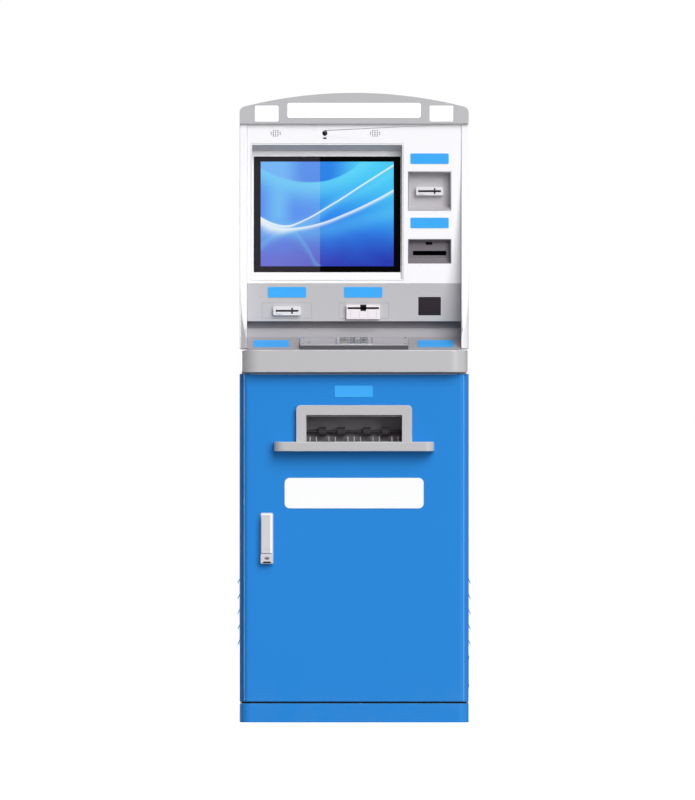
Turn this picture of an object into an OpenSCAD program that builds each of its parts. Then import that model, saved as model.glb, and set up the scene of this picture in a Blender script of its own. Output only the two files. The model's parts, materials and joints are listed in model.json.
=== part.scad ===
// Free-standing bank self-service terminal: a steel cabinet with a screen console on top.
// Millimetres. +Z is up, the customer stands on the -Y side, +X is to the customer's right.
// The origin is on the floor under the middle of the cabinet.

/* [Cabinet] */
// Width over the side panels
cabinet_w = 586; // [520:1:640]
// Depth from the front of the paper shelf to the back of the rear door hinges
cabinet_d = 600; // [540:1:680]
// Height of the plinth
plinth_h = 48.8; // [40:0.2:90]
// Height of the steel body between base plate and deck plate
body_h = 838; // [820:1:1000]
// Thickness of the base plate and of the deck plate
plate_t = 4; // [3:0.5:6]
// Sheet thickness of the side panels and doors
sheet_t = 2; // [1.5:0.5:3]
// Side of the square corner posts
post_w = 25; // [20:1:40]
// Plan radius of the plinth corners
plinth_r = 28; // [10:1:40]

/* [Front door] */
// Depth of the door pan
door_t = 18; // [16:1:30]
// Radius of the door's upright edges
door_r = 12; // [8:1:16]
// Strip of side panel left bare on each side of the door
door_inset = 11; // [8:1:20]
// How far the paper shelf stands out in front of the door
shelf_reach = 38; // [30:1:60]
// Width of the paper outlet opening
outlet_w = 245; // [225:1:260]
// Height of the paper outlet opening
outlet_h = 68; // [50:1:80]
// Height of the paper shelf's top above the floor
shelf_z = 717.4; // [690:0.2:730]
// Thickness of the paper shelf
shelf_t = 24.4; // [12:0.2:30]
// Width of the paper shelf
shelf_w = 410; // [360:1:440]

/* [Door handle] */
// Width of the handle
handle_w = 32; // [28:1:40]
// Length of the handle
handle_l = 130; // [120:1:160]
// Height of the handle's middle above the floor
handle_z = 471; // [400:1:520]
// Distance from the cabinet's middle to the handle
handle_x = 222.8; // [200:0.2:235]
// Crank radius of the lock cam
crank_r = 14; // [12:0.5:18]

/* [Desk] */
// Height of the grey belt under the desk
belt_h = 57; // [45:1:70]
// Plan radius of the belt's front corners
belt_r = 48; // [20:1:60]
// Rise of the sloping desk
desk_rise = 33; // [20:1:45]
// Depth of the sloping desk
desk_run = 96; // [90:1:120]
// Width of the keypad tray
keypad_w = 276; // [240:1:320]
// Size of a key across
key_w = 21; // [18:1:24]
// Size of a key front to back
key_d = 15; // [12:1:16]
// Travel of a key
key_travel = 2; // [1:0.5:3]

/* [Console] */
// Height of the console above the belt
console_h = 579; // [560:1:640]
// Thickness of the cheeks at the sides of the console
cheek_t = 19; // [15:1:25]
// How far the cheeks stand in front of the fascia at their feet
cheek_flare = 86; // [40:1:100]
// Height of the lower grey fascia
lower_fascia_h = 96; // [90:1:100]
// Sheet thickness of the fascias and the hood
fascia_t = 4; // [3:0.5:5]
// Width of the screen window
screen_w = 390.7; // [360:0.1:400]
// Height of the screen window
screen_h = 350.6; // [330:0.1:352]
// Lean of the screen from upright, in degrees
screen_tilt = 6; // [3:0.5:8]
// Width of the touch glass
glass_w = 374.8; // [350:0.1:380]
// Height of the touch glass
glass_h = 297; // [280:0.5:300]
// Height of the crown at its middle
crown_h = 79; // [70:1:100]
// Radius of the crown's arch
crown_arch_r = 1148; // [1100:1:2000]
// Depth of the crown
crown_d = 92; // [70:1:140]

/* [Hidden] */
$fn = 48;

// Clearances
seam = 0.5;         // between neighbouring covers
run_fit = 0.05;     // radial, shaft in its bearing
loose_fit = 0.7;    // around a crank pin in its slot
door_gap = 1;       // above and below the doors
slack = 1;          // how far a cutting shape runs past what it cuts

// Levels
base_z = plinth_h;
body_z = base_z + plate_t;
deck_z = body_z + body_h;
belt_z = deck_z + plate_t;
desk_z = belt_z + belt_h;
console_z = desk_z + 3;
console_top = console_z + console_h - 3;
fascia_split_z = desk_z + 169.6;
lower_fascia_z = fascia_split_z - lower_fascia_h;

// Planes, front to back
half_w = cabinet_w / 2;
shelf_front_y = -cabinet_d / 2;
door_face_y = shelf_front_y + shelf_reach;
door_back_y = door_face_y + door_t;
body_front_y = door_back_y + 5;
rear_knuckle_r = 6;
rear_face_y = cabinet_d / 2 - 2 * rear_knuckle_r;
belt_front_y = shelf_front_y + 10;
desk_front_y = belt_front_y + 4;
desk_back_y = desk_front_y + desk_run;
fascia_y = desk_back_y - 8;
groove_y = desk_back_y + 13;
desk_slope = atan(desk_rise / desk_run);

// Front door
door_half = half_w - door_inset;
door_z = body_z + door_gap;
door_h = body_h - 2 * door_gap;
pivot_r = 4;
pivot_x = door_half - 10;
pivot_y = door_back_y - 10;
pivot_l = 14;
bezel_border = 25.3;
bezel_proud = 12;
bezel_r = 11;
shelf_r = 26;
chute_back = 62;
chute_wall = 3;
roller_shaft_r = 4;
roller_r = 11;
roller_l = 20;
roller_y = door_face_y + 44;
roller_z = shelf_z + 26;
roller_xs = [-81, -33, 33, 81];

// Rear door
rear_hinge_x = half_w - 6;
rear_hinge_y = rear_face_y + rear_knuckle_r;
rear_pin_r = 3;
rear_hinge_zs = [body_z + 120, deck_z - 120];
knuckle_l = 30;
rear_pan_t = 6;
rear_plate_y = rear_face_y - 3.4;
rear_plate_back = rear_plate_y + rear_pan_t;

// Lock
spindle_z = handle_z + 49;
spindle_r = 6;
base_t = 2;
lever_face_y = door_face_y - 15.5;
lift_y = door_face_y - 9;
lift_pin_r = 2;
lever_skin = 2;
tongue_r = 4;
tongue_half = 5;
lever_end_z = handle_z - 38;
cam_y = door_face_y + 9;
cam_t = 3;
rod_w = 12;
rod_t = 3;
rod_y = cam_y + cam_t + 0.6;
crank_pin_r = 3;

// Keypad
keypad_d = desk_run - 7;
keypad_front_y = desk_front_y + 5;
keypad_front_h = 12;
keypad_rise = desk_rise - keypad_front_h - 2.7;
keypad_slope = atan(keypad_rise / keypad_d);
keypad_plate_t = 3;
keypad_body_h = 34;
key_proud = 2.5;
key_rib = 4;
key_pitch_x = key_w + key_rib;
key_pitch_y = key_d + key_rib;
key_gap = 0.6;
key_names = [["key_1", "key_2", "key_3"], ["key_4", "key_5", "key_6"],
    ["key_7", "key_8", "key_9"], ["key_clear", "key_0", "key_enter"]];

// Middles and sizes of what the fascias carry
screen_x = -69;
screen_z = fascia_split_z + 8.2;
label_w = 98;
label_h = 27;
label_t = 1;
card_x = 193.2;
card_z = fascia_split_z + 237.1;
card_recess_w = 110.7;
card_recess_h = 100.3;
recess_depth = 24;
card_slot_w = 58;
card_slot_h = 5;
card_bezel_w = 69;
card_bezel_h = 21.6;
note_z = fascia_split_z + 83;
note_recess_h = 62.4;
note_slot_w = 85.6;
note_slot_h = 25.4;
id_x = -171.6;
id_z = lower_fascia_z + 26.7;
receipt_x = 23.4;
receipt_z = lower_fascia_z + 24.1;
receipt_w = 85.6;
receipt_h = 36.8;
scanner_x = 193;
scanner_z = lower_fascia_z + 38.6;
scanner_w = 56.3;
scanner_h = 45.8;
speaker_xs = [-200.7, 53.4];
speaker_z = console_top - 24.4;
camera_x = -75;

// Ventilation
louvre_n = 5;
louvre_pitch = 39.2;
louvre_z = plinth_h + 147.7;
louvre_l = 190;
louvre_h = 15;
louvre_out = 6;
louvre_y = 30;
fan_w = 120;
fan_t = 25;
fan_z = louvre_z + 2 * louvre_pitch;
fan_blades = 7;

// ---------- Shared shapes ----------
module round_rect(w, d, r) {
    square([w - 2 * r, d], center = true);
    square([w, d - 2 * r], center = true);
    for (sx = [-1, 1], sy = [-1, 1])
        translate([sx * (w / 2 - r), sy * (d / 2 - r)]) circle(r);
}

// Plan outline from front to back, with only its front corners rounded
module front_rounded(w, y0, y1, r) intersection() {
    translate([-w / 2, y0]) square([w, y1 - y0]);
    union() {
        translate([-w / 2, y0 + r]) square([w, y1 - y0]);
        translate([-w / 2 + r, y0]) square([w - 2 * r, y1 - y0]);
        for (s = [-1, 1]) translate([s * (w / 2 - r), y0 + r]) circle(r);
    }
}

// A Y-Z outline, swept along X between x0 and x1
module side_profile(x0, x1) {
    translate([x0, 0, 0]) rotate([90, 0, 90]) linear_extrude(x1 - x0) children();
}

// An X-Z outline, swept along Y between y0 and y1
module face_profile(y0, y1) {
    translate([0, y1, 0]) rotate([90, 0, 0]) linear_extrude(y1 - y0) children();
}

// A box given by its two X, Y and Z limits
module block(x, y, z) {
    translate([x[0], y[0], z[0]]) cube([x[1] - x[0], y[1] - y[0], z[1] - z[0]]);
}

module along_x(r, x0, x1) {
    translate([x0, 0, 0]) rotate([0, 90, 0]) cylinder(h = x1 - x0, r = r);
}

module along_y(r, y0, y1) {
    translate([0, y0, 0]) rotate([-90, 0, 0]) cylinder(h = y1 - y0, r = r);
}

// A rectangle centred on x, z, swept along Y
module window(x, z, w, h, y0, y1) {
    block([x - w / 2, x + w / 2], [y0, y1], [z - h / 2, z + h / 2]);
}

// Screen coordinates: z runs up the leaning glass, y goes into the console
module on_screen() {
    translate([screen_x, fascia_y + 5, screen_z]) rotate([-screen_tilt, 0, 0]) children();
}

// Keypad coordinates: y runs back up the plate, z is square to it
module on_keypad() {
    translate([0, keypad_front_y, desk_z + keypad_front_h + 2]) rotate([keypad_slope, 0, 0])
        children();
}

// ---------- Plinth and body ----------
anchor_span_x = 460;
anchor_span_y = 420;
anchor_hole_r = 7;
cable_hole_r = 25;
cable_hole_y = 230;
plinth_wall = 3;

module plinth_outline(inset) {
    translate([0, (door_face_y + rear_face_y) / 2])
        round_rect(cabinet_w - 2 * inset, rear_face_y - door_face_y - 2 * inset, plinth_r - inset);
}

module plinth_skirt() color("dodgerblue") linear_extrude(plinth_h) difference() {
    plinth_outline(0);
    plinth_outline(plinth_wall);
}

module base_plate() color("dimgray") {
    difference() {
        translate([0, 0, base_z]) linear_extrude(plate_t) plinth_outline(1);
        for (sx = [-1, 1], sy = [-1, 1])
            translate([sx * anchor_span_x / 2, sy * anchor_span_y / 2, base_z - slack])
                cylinder(h = plate_t + 2 * slack, r = anchor_hole_r);
        translate([0, cable_hole_y, base_z - slack]) cylinder(h = plate_t + 2 * slack, r = cable_hole_r);
    }
    translate([pivot_x, pivot_y, body_z - slack]) cylinder(h = pivot_l + slack, r = pivot_r);
}

foot_r = 20;
foot_pad_h = 12;
foot_stud_r = 6;
foot_nut_r = 10;
foot_nut_h = 6;
foot_in_x = 90;
foot_in_y = 120;
module levelling_feet() color("dimgray") for (sx = [-1, 1], sy = [-1, 1])
    translate([sx * (half_w - foot_in_x), sy * (cabinet_d / 2 - foot_in_y), 0]) {
        cylinder(h = foot_pad_h, r = foot_r);
        cylinder(h = base_z, r = foot_stud_r);
        translate([0, 0, base_z - 2 * foot_nut_h])
            cylinder(h = foot_nut_h, r = foot_nut_r, $fn = 6);
    }

shelf_plate_z = shelf_z - 82;
module corner_frame() color("slategray") {
    post_x = half_w - sheet_t - post_w;
    post_y = body_front_y + door_r;
    for (sx = [-1, 1], y = [post_y, rear_face_y - 4 - post_w])
        translate([sx > 0 ? post_x : -post_x - post_w, y, body_z]) cube([post_w, post_w, body_h]);
    block([-post_x - post_w, post_x + post_w], [post_y + post_w - 2, rear_face_y - 6],
        [shelf_plate_z, shelf_plate_z + 3]);
}

module louvre(z) {
    translate([0, 0, z]) rotate([90, 0, 0]) translate([0, 0, -louvre_l / 2])
        linear_extrude(louvre_l) polygon([[half_w - slack, louvre_h + 1], [half_w, louvre_h],
            [half_w + louvre_out, 1], [half_w + louvre_out, 0], [half_w + louvre_out - 1.5, 0],
            [half_w - 0.2, louvre_h - 3], [half_w - slack, louvre_h - 3]]);
}

// Right-hand panel; the left one is its mirror image
module side_panel() {
    difference() {
        union() {
            block([half_w - sheet_t, half_w], [body_front_y + door_r, rear_face_y - 4],
                [body_z, deck_z]);
            block([half_w - door_r - 12, half_w - door_r], [body_front_y, body_front_y + sheet_t],
                [body_z, deck_z]);
            translate([half_w - door_r, body_front_y + door_r, body_z]) linear_extrude(body_h)
                intersection() {
                    difference() {
                        circle(door_r);
                        circle(door_r - sheet_t);
                    }
                    translate([0, -door_r]) square(door_r);
                }
        }
        for (i = [0 : louvre_n - 1])
            block([half_w - sheet_t - slack, half_w + slack],
                [louvre_y - louvre_l / 2 + 3, louvre_y + louvre_l / 2 - 3],
                [louvre_z + i * louvre_pitch + 2, louvre_z + i * louvre_pitch + louvre_h - 4]);
    }
    translate([0, louvre_y, 0]) for (i = [0 : louvre_n - 1]) louvre(louvre_z + i * louvre_pitch);
}

// Brackets with the pins that the rear door's knuckles turn on
module rear_hinge_brackets() for (z = rear_hinge_zs) {
    block([rear_hinge_x - 2, half_w], [rear_face_y - 4, rear_hinge_y],
        [z - knuckle_l / 2 - 6, z - knuckle_l / 2 - seam]);
    translate([rear_hinge_x, rear_hinge_y, z - knuckle_l / 2 - 6]) {
        cylinder(h = 6 - seam, r = rear_knuckle_r);
        cylinder(h = knuckle_l + 8, r = rear_pin_r);
    }
}

module right_side_panel() color("royalblue") {
    side_panel();
    rear_hinge_brackets();
}
module left_side_panel() color("royalblue") mirror([1, 0, 0]) side_panel();

inlet_ys = [150, 250];
inlet_zs = [plinth_h + 29, plinth_h + 121];
inlet_t = 3;
inlet_screw_in = 10;
inlet_screw_r = 3;
inlet_screw_h = 1.5;
module inlet_cover() color("steelblue") {
    block([half_w, half_w + inlet_t], inlet_ys, inlet_zs);
    for (y = [inlet_ys[0] + inlet_screw_in, inlet_ys[1] - inlet_screw_in],
        z = [inlet_zs[0] + inlet_screw_in, inlet_zs[1] - inlet_screw_in])
        translate([0, y, z])
            along_x(inlet_screw_r, half_w + inlet_t - slack, half_w + inlet_t + inlet_screw_h);
}

deck_hole_w = 360;
deck_hole_ys = [-140, 200];
module deck_plate() color("dimgray") {
    difference() {
        block([-half_w + 6, half_w - 6], [door_face_y + 4, rear_face_y - 4], [deck_z, belt_z]);
        block([-deck_hole_w / 2, deck_hole_w / 2], deck_hole_ys, [deck_z - slack, belt_z + slack]);
    }
    translate([pivot_x, pivot_y, deck_z - pivot_l]) cylinder(h = pivot_l + slack, r = pivot_r);
}

// ---------- Desk ----------
belt_wall = 22;
module waist_belt() color("silver") translate([0, 0, belt_z]) linear_extrude(belt_h) difference() {
    front_rounded(cabinet_w - 6, belt_front_y, rear_face_y - 4, belt_r);
    front_rounded(cabinet_w - 6 - 2 * belt_wall, belt_front_y + 5, rear_face_y - 9,
        belt_r - belt_wall);
}

// Plan outline that rounds the front corners of everything above the belt
module console_prism() translate([0, 0, desk_z - slack]) linear_extrude(console_h + 10)
    front_rounded(cabinet_w, belt_front_y + 2, cabinet_d / 2, belt_r + 3);

desk_half = half_w - cheek_t - seam;
module desk_top() color("darkgray") difference() {
    intersection() {
        side_profile(-desk_half, desk_half) polygon([[desk_front_y, desk_z],
        [desk_back_y, desk_z + desk_rise], [groove_y, lower_fascia_z - 17.3],
        [groove_y, lower_fascia_z], [groove_y + 3, lower_fascia_z],
        [groove_y + 3, lower_fascia_z - 18], [desk_back_y + 2, desk_z + desk_rise - 3],
        [desk_front_y + 12, desk_z + 1.2], [desk_front_y + 12, desk_z]]);
        console_prism();
    }
    block([-keypad_w / 2 - seam, keypad_w / 2 + seam],
        [keypad_front_y - seam, keypad_front_y + keypad_d + seam], [desk_z - slack, desk_z + 60]);
}

module key_holes(grow, z0, z1) {
    for (row = [0 : 3], col = [0 : 2])
        translate([(col - 1) * key_pitch_x, keypad_d / 2 + (1.5 - row) * key_pitch_y, z0])
            linear_extrude(z1 - z0) square([key_w + 2 * grow, key_d + 2 * grow], center = true);
}

// Wedge that carries the keys; the plate lies on it
module keypad_base() color("black") difference() {
    side_profile(-keypad_w / 2, keypad_w / 2) polygon([
        [keypad_front_y, desk_z + 2.2],
        [keypad_front_y, desk_z + keypad_front_h + 2 - keypad_plate_t / cos(keypad_slope)],
        [keypad_front_y + keypad_d * cos(keypad_slope), desk_z + keypad_front_h + 2
            - keypad_plate_t / cos(keypad_slope) + keypad_d * sin(keypad_slope)],
        [keypad_front_y + keypad_d * cos(keypad_slope), desk_z - keypad_body_h],
        [keypad_front_y + 20, desk_z - keypad_body_h], [keypad_front_y + 20, desk_z + 2.2]]);
    on_keypad() key_holes(key_gap, -keypad_plate_t - key_travel - 4, slack);
}

module keypad_plate() color("gainsboro") difference() {
    on_keypad() block([-keypad_w / 2, keypad_w / 2], [keypad_plate_t * sin(keypad_slope),
        keypad_d], [-keypad_plate_t, 0]);
    on_keypad() key_holes(key_gap, -keypad_plate_t - slack, slack);
}

module key(row, col) color("whitesmoke") on_keypad()
    translate([(col - 1) * key_pitch_x, keypad_d / 2 + (1.5 - row) * key_pitch_y,
        -keypad_plate_t - 2])
        linear_extrude(keypad_plate_t + 2 + key_proud) round_rect(key_w, key_d, 2.5);

// ---------- Console ----------
flare_rise = console_h - 40;
flare_r = (flare_rise * flare_rise + cheek_flare * cheek_flare) / (2 * cheek_flare);
hood_knee_y = 150;
hood_knee_z = console_top - 131;
hood_back_y = rear_face_y - 4;

module cheek_side() side_profile(half_w - cheek_t, half_w) difference() {
    polygon([[fascia_y - 2 - cheek_flare, console_z], [fascia_y - 2 - cheek_flare, console_top],
        [hood_knee_y, console_top], [hood_back_y, hood_knee_z], [hood_back_y, console_z]]);
    translate([fascia_y - 2 - flare_r, console_z + flare_rise]) circle(flare_r, $fn = 96);
    translate([fascia_y - 3 - cheek_flare, console_z + flare_rise])
        square([cheek_flare + 1, console_h]);
}
module cheek() intersection() {
    cheek_side();
    console_prism();
}
module right_cheek() color("whitesmoke") cheek();
module left_cheek() color("whitesmoke") mirror([1, 0, 0]) cheek();

hood_t = 3;
module rear_hood() color("whitesmoke") side_profile(-desk_half, desk_half) polygon([
    [fascia_y + fascia_t + 12, console_top], [hood_knee_y, console_top],
    [hood_back_y, hood_knee_z], [hood_back_y, console_z - 3], [hood_back_y - hood_t, console_z - 3],
    [hood_back_y - hood_t, hood_knee_z - 1.3], [hood_knee_y - 1.3, console_top - hood_t],
    [fascia_y + fascia_t + 12, console_top - hood_t]]);

module upper_fascia() color("white") difference() {
    union() {
        block([-desk_half, desk_half], [fascia_y, fascia_y + fascia_t],
            [fascia_split_z + seam, console_top]);
        block([-desk_half, desk_half], [fascia_y, fascia_y + fascia_t + 11.5],
            [console_top - hood_t, console_top]);
    }
    window(screen_x, screen_z + screen_h / 2, screen_w, screen_h, fascia_y - slack,
        fascia_y + fascia_t + slack);
    window(card_x, card_z, card_recess_w, card_recess_h, fascia_y - slack,
        fascia_y + fascia_t + slack);
    window(card_x, note_z, card_recess_w, note_recess_h, fascia_y - slack,
        fascia_y + fascia_t + slack);
    translate([camera_x, 0, speaker_z]) along_y(6 + seam, fascia_y - slack,
        fascia_y + fascia_t + slack);
}

id_plug_w = 66;
id_plug_h = 18;
module lower_fascia() color("silver") difference() {
    union() {
        block([-desk_half, desk_half], [fascia_y, fascia_y + fascia_t],
            [lower_fascia_z, fascia_split_z]);
        block([-desk_half, desk_half], [fascia_y, groove_y - seam],
            [lower_fascia_z, lower_fascia_z + fascia_t]);
    }
    window(id_x, id_z, id_plug_w + 2 * seam, id_plug_h + 2 * seam, fascia_y - slack,
        fascia_y + fascia_t + slack);
    window(receipt_x, receipt_z, receipt_w - 3, receipt_h - 6, fascia_y - slack,
        fascia_y + fascia_t + slack);
    window(scanner_x, scanner_z, scanner_w + 2 * seam, scanner_h + 2 * seam, fascia_y - slack,
        fascia_y + fascia_t + slack);
}

surround_w = screen_w - 2 * seam;
surround_rim = 3;
soffit_h = 18.5;
module screen_surround() color("gainsboro") difference() {
    translate([screen_x, 0, 0]) side_profile(-surround_w / 2, surround_w / 2) polygon([
        [fascia_y + 0.4, screen_z + seam], [fascia_y + 0.4, screen_z + screen_h - seam],
        [fascia_y + 62, screen_z + screen_h - seam],
        [fascia_y + 62, screen_z + screen_h - soffit_h - 8], [fascia_y + 24, screen_z + seam]]);
    translate([screen_x, 0, 0]) side_profile(-surround_w / 2 + surround_rim,
        surround_w / 2 - surround_rim) polygon([
        [fascia_y - slack, screen_z + 4], [fascia_y + 5.4, screen_z + 4],
        [fascia_y + 5 + (screen_h - soffit_h) * tan(screen_tilt), screen_z + screen_h - soffit_h],
        [fascia_y - slack, screen_z + screen_h - surround_rim]]);
    on_screen() block([-glass_w / 2 - seam, glass_w / 2 + seam], [-slack, seam + glass_t + glass_bed],
        [glass_foot - seam, glass_foot + glass_h + seam]);
    on_screen() block([-lcd_w / 2 - seam, lcd_w / 2 + seam], [-slack, 60],
        [glass_foot + 6 - seam, glass_foot + glass_h - 6 + seam]);
}

glass_t = 4.4;
glass_bed = 0.05;
glass_foot = 22;
lcd_w = 358;
module touch_glass() color("black") on_screen()
    block([-glass_w / 2, glass_w / 2], [seam, seam + glass_t], [glass_foot, glass_foot + glass_h]);

module lcd_module() color("gray") on_screen() {
    block([-lcd_w / 2, lcd_w / 2], [seam + glass_t + glass_bed, 28],
        [glass_foot + 6, glass_foot + glass_h - 6]);
    block([-lcd_w / 2 + 60, lcd_w / 2 - 60], [28, 42],
        [glass_foot + 60, glass_foot + glass_h - 60]);
}

// ---------- Crown ----------
crown_corner_r = 16;
crown_wall = 3;
crown_front_y = fascia_y - 10;
crown_centre_z = console_top + crown_h - crown_arch_r;
module crown_outline(inset) {
    arch = crown_arch_r - inset;
    corner = crown_corner_r - inset;
    corner_x = half_w - crown_corner_r;
    corner_z = crown_centre_z + sqrt(pow(arch - corner, 2) - corner_x * corner_x);
    touch_x = corner_x * arch / (arch - corner);
    difference() {
        intersection() {
            translate([-half_w + inset, console_top + inset])
                square([cabinet_w - 2 * inset, crown_h]);
            translate([0, crown_centre_z]) circle(arch, $fn = 96);
        }
        for (s = [-1, 1]) difference() {
            translate([s > 0 ? touch_x : -touch_x - 30, corner_z]) square([30, 40]);
            translate([s * corner_x, corner_z]) circle(corner);
        }
    }
}

panel_mid_w = 341.4;
panel_mid_h = 38.2;
panel_mid_z = console_top + 34.3;
panel_side_w = 60.4;
panel_side_h = 40.8;
panel_side_x = 223.4;
panel_side_z = console_top + 26;
module crown_windows(grow, y0, y1) {
    face_profile(y0, y1) {
        translate([0, panel_mid_z]) round_rect(panel_mid_w + 2 * grow, panel_mid_h + 2 * grow, 5);
        for (s = [-1, 1]) translate([s * panel_side_x, panel_side_z])
            round_rect(panel_side_w + 2 * grow, panel_side_h + 2 * grow, 2.5);
    }
}

module crown_header() color("silver") difference() {
    face_profile(crown_front_y, crown_front_y + crown_d) crown_outline(0);
    face_profile(crown_front_y + crown_wall, crown_front_y + crown_d - crown_wall)
        crown_outline(crown_wall);
    crown_windows(0.3, crown_front_y - slack, crown_front_y + crown_wall + slack);
}

module crown_panels() color("white") crown_windows(0, crown_front_y + 0.5,
    crown_front_y + crown_wall + 1.5);

// ---------- Labels ----------
upper_label_zs = [fascia_split_z + 155.7, fascia_split_z + 320.1];
lower_label_xs = [-171.6, 23.4];
lower_label_z = lower_fascia_z + 74.3;
desk_label_xs = [-212, 208];
desk_label_d = 54;
module function_labels() color("deepskyblue") {
    for (z = upper_label_zs) face_profile(fascia_y - label_t, fascia_y)
        translate([card_x, z]) round_rect(label_w, label_h, 3);
    for (x = lower_label_xs) face_profile(fascia_y - label_t, fascia_y)
        translate([x, lower_label_z]) round_rect(label_w, label_h, 3);
    for (x = desk_label_xs) translate([x, desk_front_y, desk_z]) rotate([desk_slope, 0, 0])
        translate([0, desk_run / 2 + 1, 0]) linear_extrude(label_t)
            round_rect(label_w - 8, desk_label_d, 3);
}

// ---------- Console modules ----------
speaker_r = 18;
module speakers() color("darkslategray") for (x = speaker_xs) translate([x, 0, speaker_z]) {
    along_y(speaker_r, fascia_y + fascia_t, fascia_y + fascia_t + 7);
    along_y(10, fascia_y + fascia_t + 7, fascia_y + fascia_t + 18);
}

module camera() color("dimgray") translate([camera_x, 0, speaker_z]) difference() {
    union() {
        along_y(6, fascia_y - 0.6, fascia_y + fascia_t);
        block([-16, 16], [fascia_y + fascia_t, fascia_y + fascia_t + 20], [-15, 15]);
    }
    along_y(3.6, fascia_y - 2, fascia_y + 2);
}

module card_recess() color("silver") difference() {
    union() {
        window(card_x, card_z, card_recess_w - 2 * seam, card_recess_h - 2 * seam,
            fascia_y + 0.4, fascia_y + recess_depth + 2);
        window(card_x, card_z, card_recess_w + 8, card_recess_h + 8, fascia_y + fascia_t,
            fascia_y + fascia_t + 2);
    }
    side_profile(card_x - card_recess_w / 2 + 2, card_x + card_recess_w / 2 - 2) polygon([
        [fascia_y - slack, card_z - card_recess_h / 2 + 2],
        [fascia_y + recess_depth, card_z - card_recess_h / 2 + 11],
        [fascia_y + recess_depth, card_z + card_recess_h / 2 - 4],
        [fascia_y - slack, card_z + card_recess_h / 2 - 2]]);
    window(card_x, card_z, card_slot_w, 12, fascia_y, fascia_y + recess_depth + 3);
}

// Chrome slot mouth for a bank card: a lip with a slot and a finger notch
module slot_mouth(x, z, w, h, y_seat, proud) difference() {
    union() {
        face_profile(y_seat - proud, y_seat) translate([x, z]) round_rect(w, h, 4);
        window(x - w / 2 + 15, z, 12, h - 6, y_seat - proud - 2, y_seat - proud);
    }
    window(x, z, card_slot_w, card_slot_h, y_seat - proud - 3, y_seat + slack);
    window(x + 13, z, 4, h - 7, y_seat - proud - slack, y_seat - proud + 3);
}

module card_bezel() color("white") slot_mouth(card_x, card_z, card_bezel_w, card_bezel_h,
    fascia_y + recess_depth, 12);

reader_y = fascia_y + recess_depth + 2;
module card_reader() color("dimgray") difference() {
    block([card_x - 48, card_x + 48], [reader_y, reader_y + 190], [card_z - 34, card_z + 30]);
    window(card_x, card_z, card_slot_w, card_slot_h, reader_y - slack, reader_y + 100);
    for (s = [-1, 1]) block([card_x + s * 26 - 8, card_x + s * 26 + 8],
        [reader_y + 110, reader_y + 170], [card_z + 10, card_z + 31]);
}

module note_acceptor() color("black") difference() {
    union() {
        window(card_x, note_z, card_recess_w - 2 * seam, note_recess_h - 2 * seam,
            fascia_y + 0.4, fascia_y + 28);
        window(card_x, note_z, card_recess_w + 8, note_recess_h + 8, fascia_y + fascia_t,
            fascia_y + fascia_t + 2);
        block([card_x - 52, card_x + 52], [fascia_y + 28, fascia_y + 180],
            [note_z - 40, note_z + 44]);
        block([card_x - 50, card_x + 50], [fascia_y + 90, fascia_y + 250],
            [note_z - 190, note_z - 39]);
    }
    difference() {
        window(card_x, note_z, card_recess_w - 5, note_recess_h - 5, fascia_y - slack,
            fascia_y + 16);
        side_profile(card_x - 60, card_x + 60) polygon([[fascia_y + 2, note_z - 40],
            [fascia_y + 16, note_z - 18], [fascia_y + 20, note_z - 40]]);
    }
    window(card_x, note_z - 4.4, note_slot_w, note_slot_h - 14, fascia_y, fascia_y + 120);
    face_profile(fascia_y, fascia_y + 19) translate([card_x - 1.5, note_z + 20.5])
        round_rect(18, 8, 3.9);
}

module id_reader() color("gainsboro") {
    slot_mouth(id_x, id_z, card_bezel_w + 1, card_bezel_h + 1, fascia_y, 10);
    difference() {
        union() {
            window(id_x, id_z, id_plug_w, id_plug_h, fascia_y, fascia_y + fascia_t);
            block([id_x - 46, id_x + 46], [fascia_y + fascia_t, fascia_y + 130],
                [id_z - 20, id_z + 26]);
        }
        window(id_x, id_z, card_slot_w, card_slot_h, fascia_y - slack, fascia_y + 100);
    }
}

receipt_proud = 10;
paper_slot_w = 80;
paper_slot_h = 5;
paper_slot_z = receipt_z + 9.5;
module receipt_bezel() color("white") difference() {
    face_profile(fascia_y - receipt_proud, fascia_y)
        translate([receipt_x, receipt_z]) round_rect(receipt_w, receipt_h, 2);
    window(receipt_x, paper_slot_z, paper_slot_w, paper_slot_h, fascia_y - receipt_proud - slack,
        fascia_y + slack);
    face_profile(fascia_y - receipt_proud - slack, fascia_y - 3)
        polygon([[receipt_x - 9.2, receipt_z + receipt_h], [receipt_x + 9.2, receipt_z + receipt_h],
            [receipt_x + 7, receipt_z + 2], [receipt_x - 7, receipt_z + 2]]);
}

module receipt_printer() color("dimgray") difference() {
    union() {
        window(receipt_x, receipt_z, receipt_w - 4, receipt_h - 7, fascia_y, fascia_y + fascia_t);
        block([receipt_x - 54, receipt_x + 54], [fascia_y + fascia_t, fascia_y + 150],
            [lower_fascia_z + fascia_t + seam, receipt_z + 40]);
        translate([0, fascia_y + 105, receipt_z + 70]) along_x(42, receipt_x - 44, receipt_x + 44);
    }
    window(receipt_x, paper_slot_z, paper_slot_w, paper_slot_h, fascia_y - slack, fascia_y + 50);
    translate([0, fascia_y + 105, receipt_z + 70]) along_x(6, receipt_x - 60, receipt_x + 60);
}

module scanner_window() color("black") {
    window(scanner_x, scanner_z, scanner_w, scanner_h, fascia_y + 0.4, fascia_y + fascia_t);
    window(scanner_x, scanner_z, scanner_w + 12, scanner_h + 12, fascia_y + fascia_t,
        fascia_y + 60);
}

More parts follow.
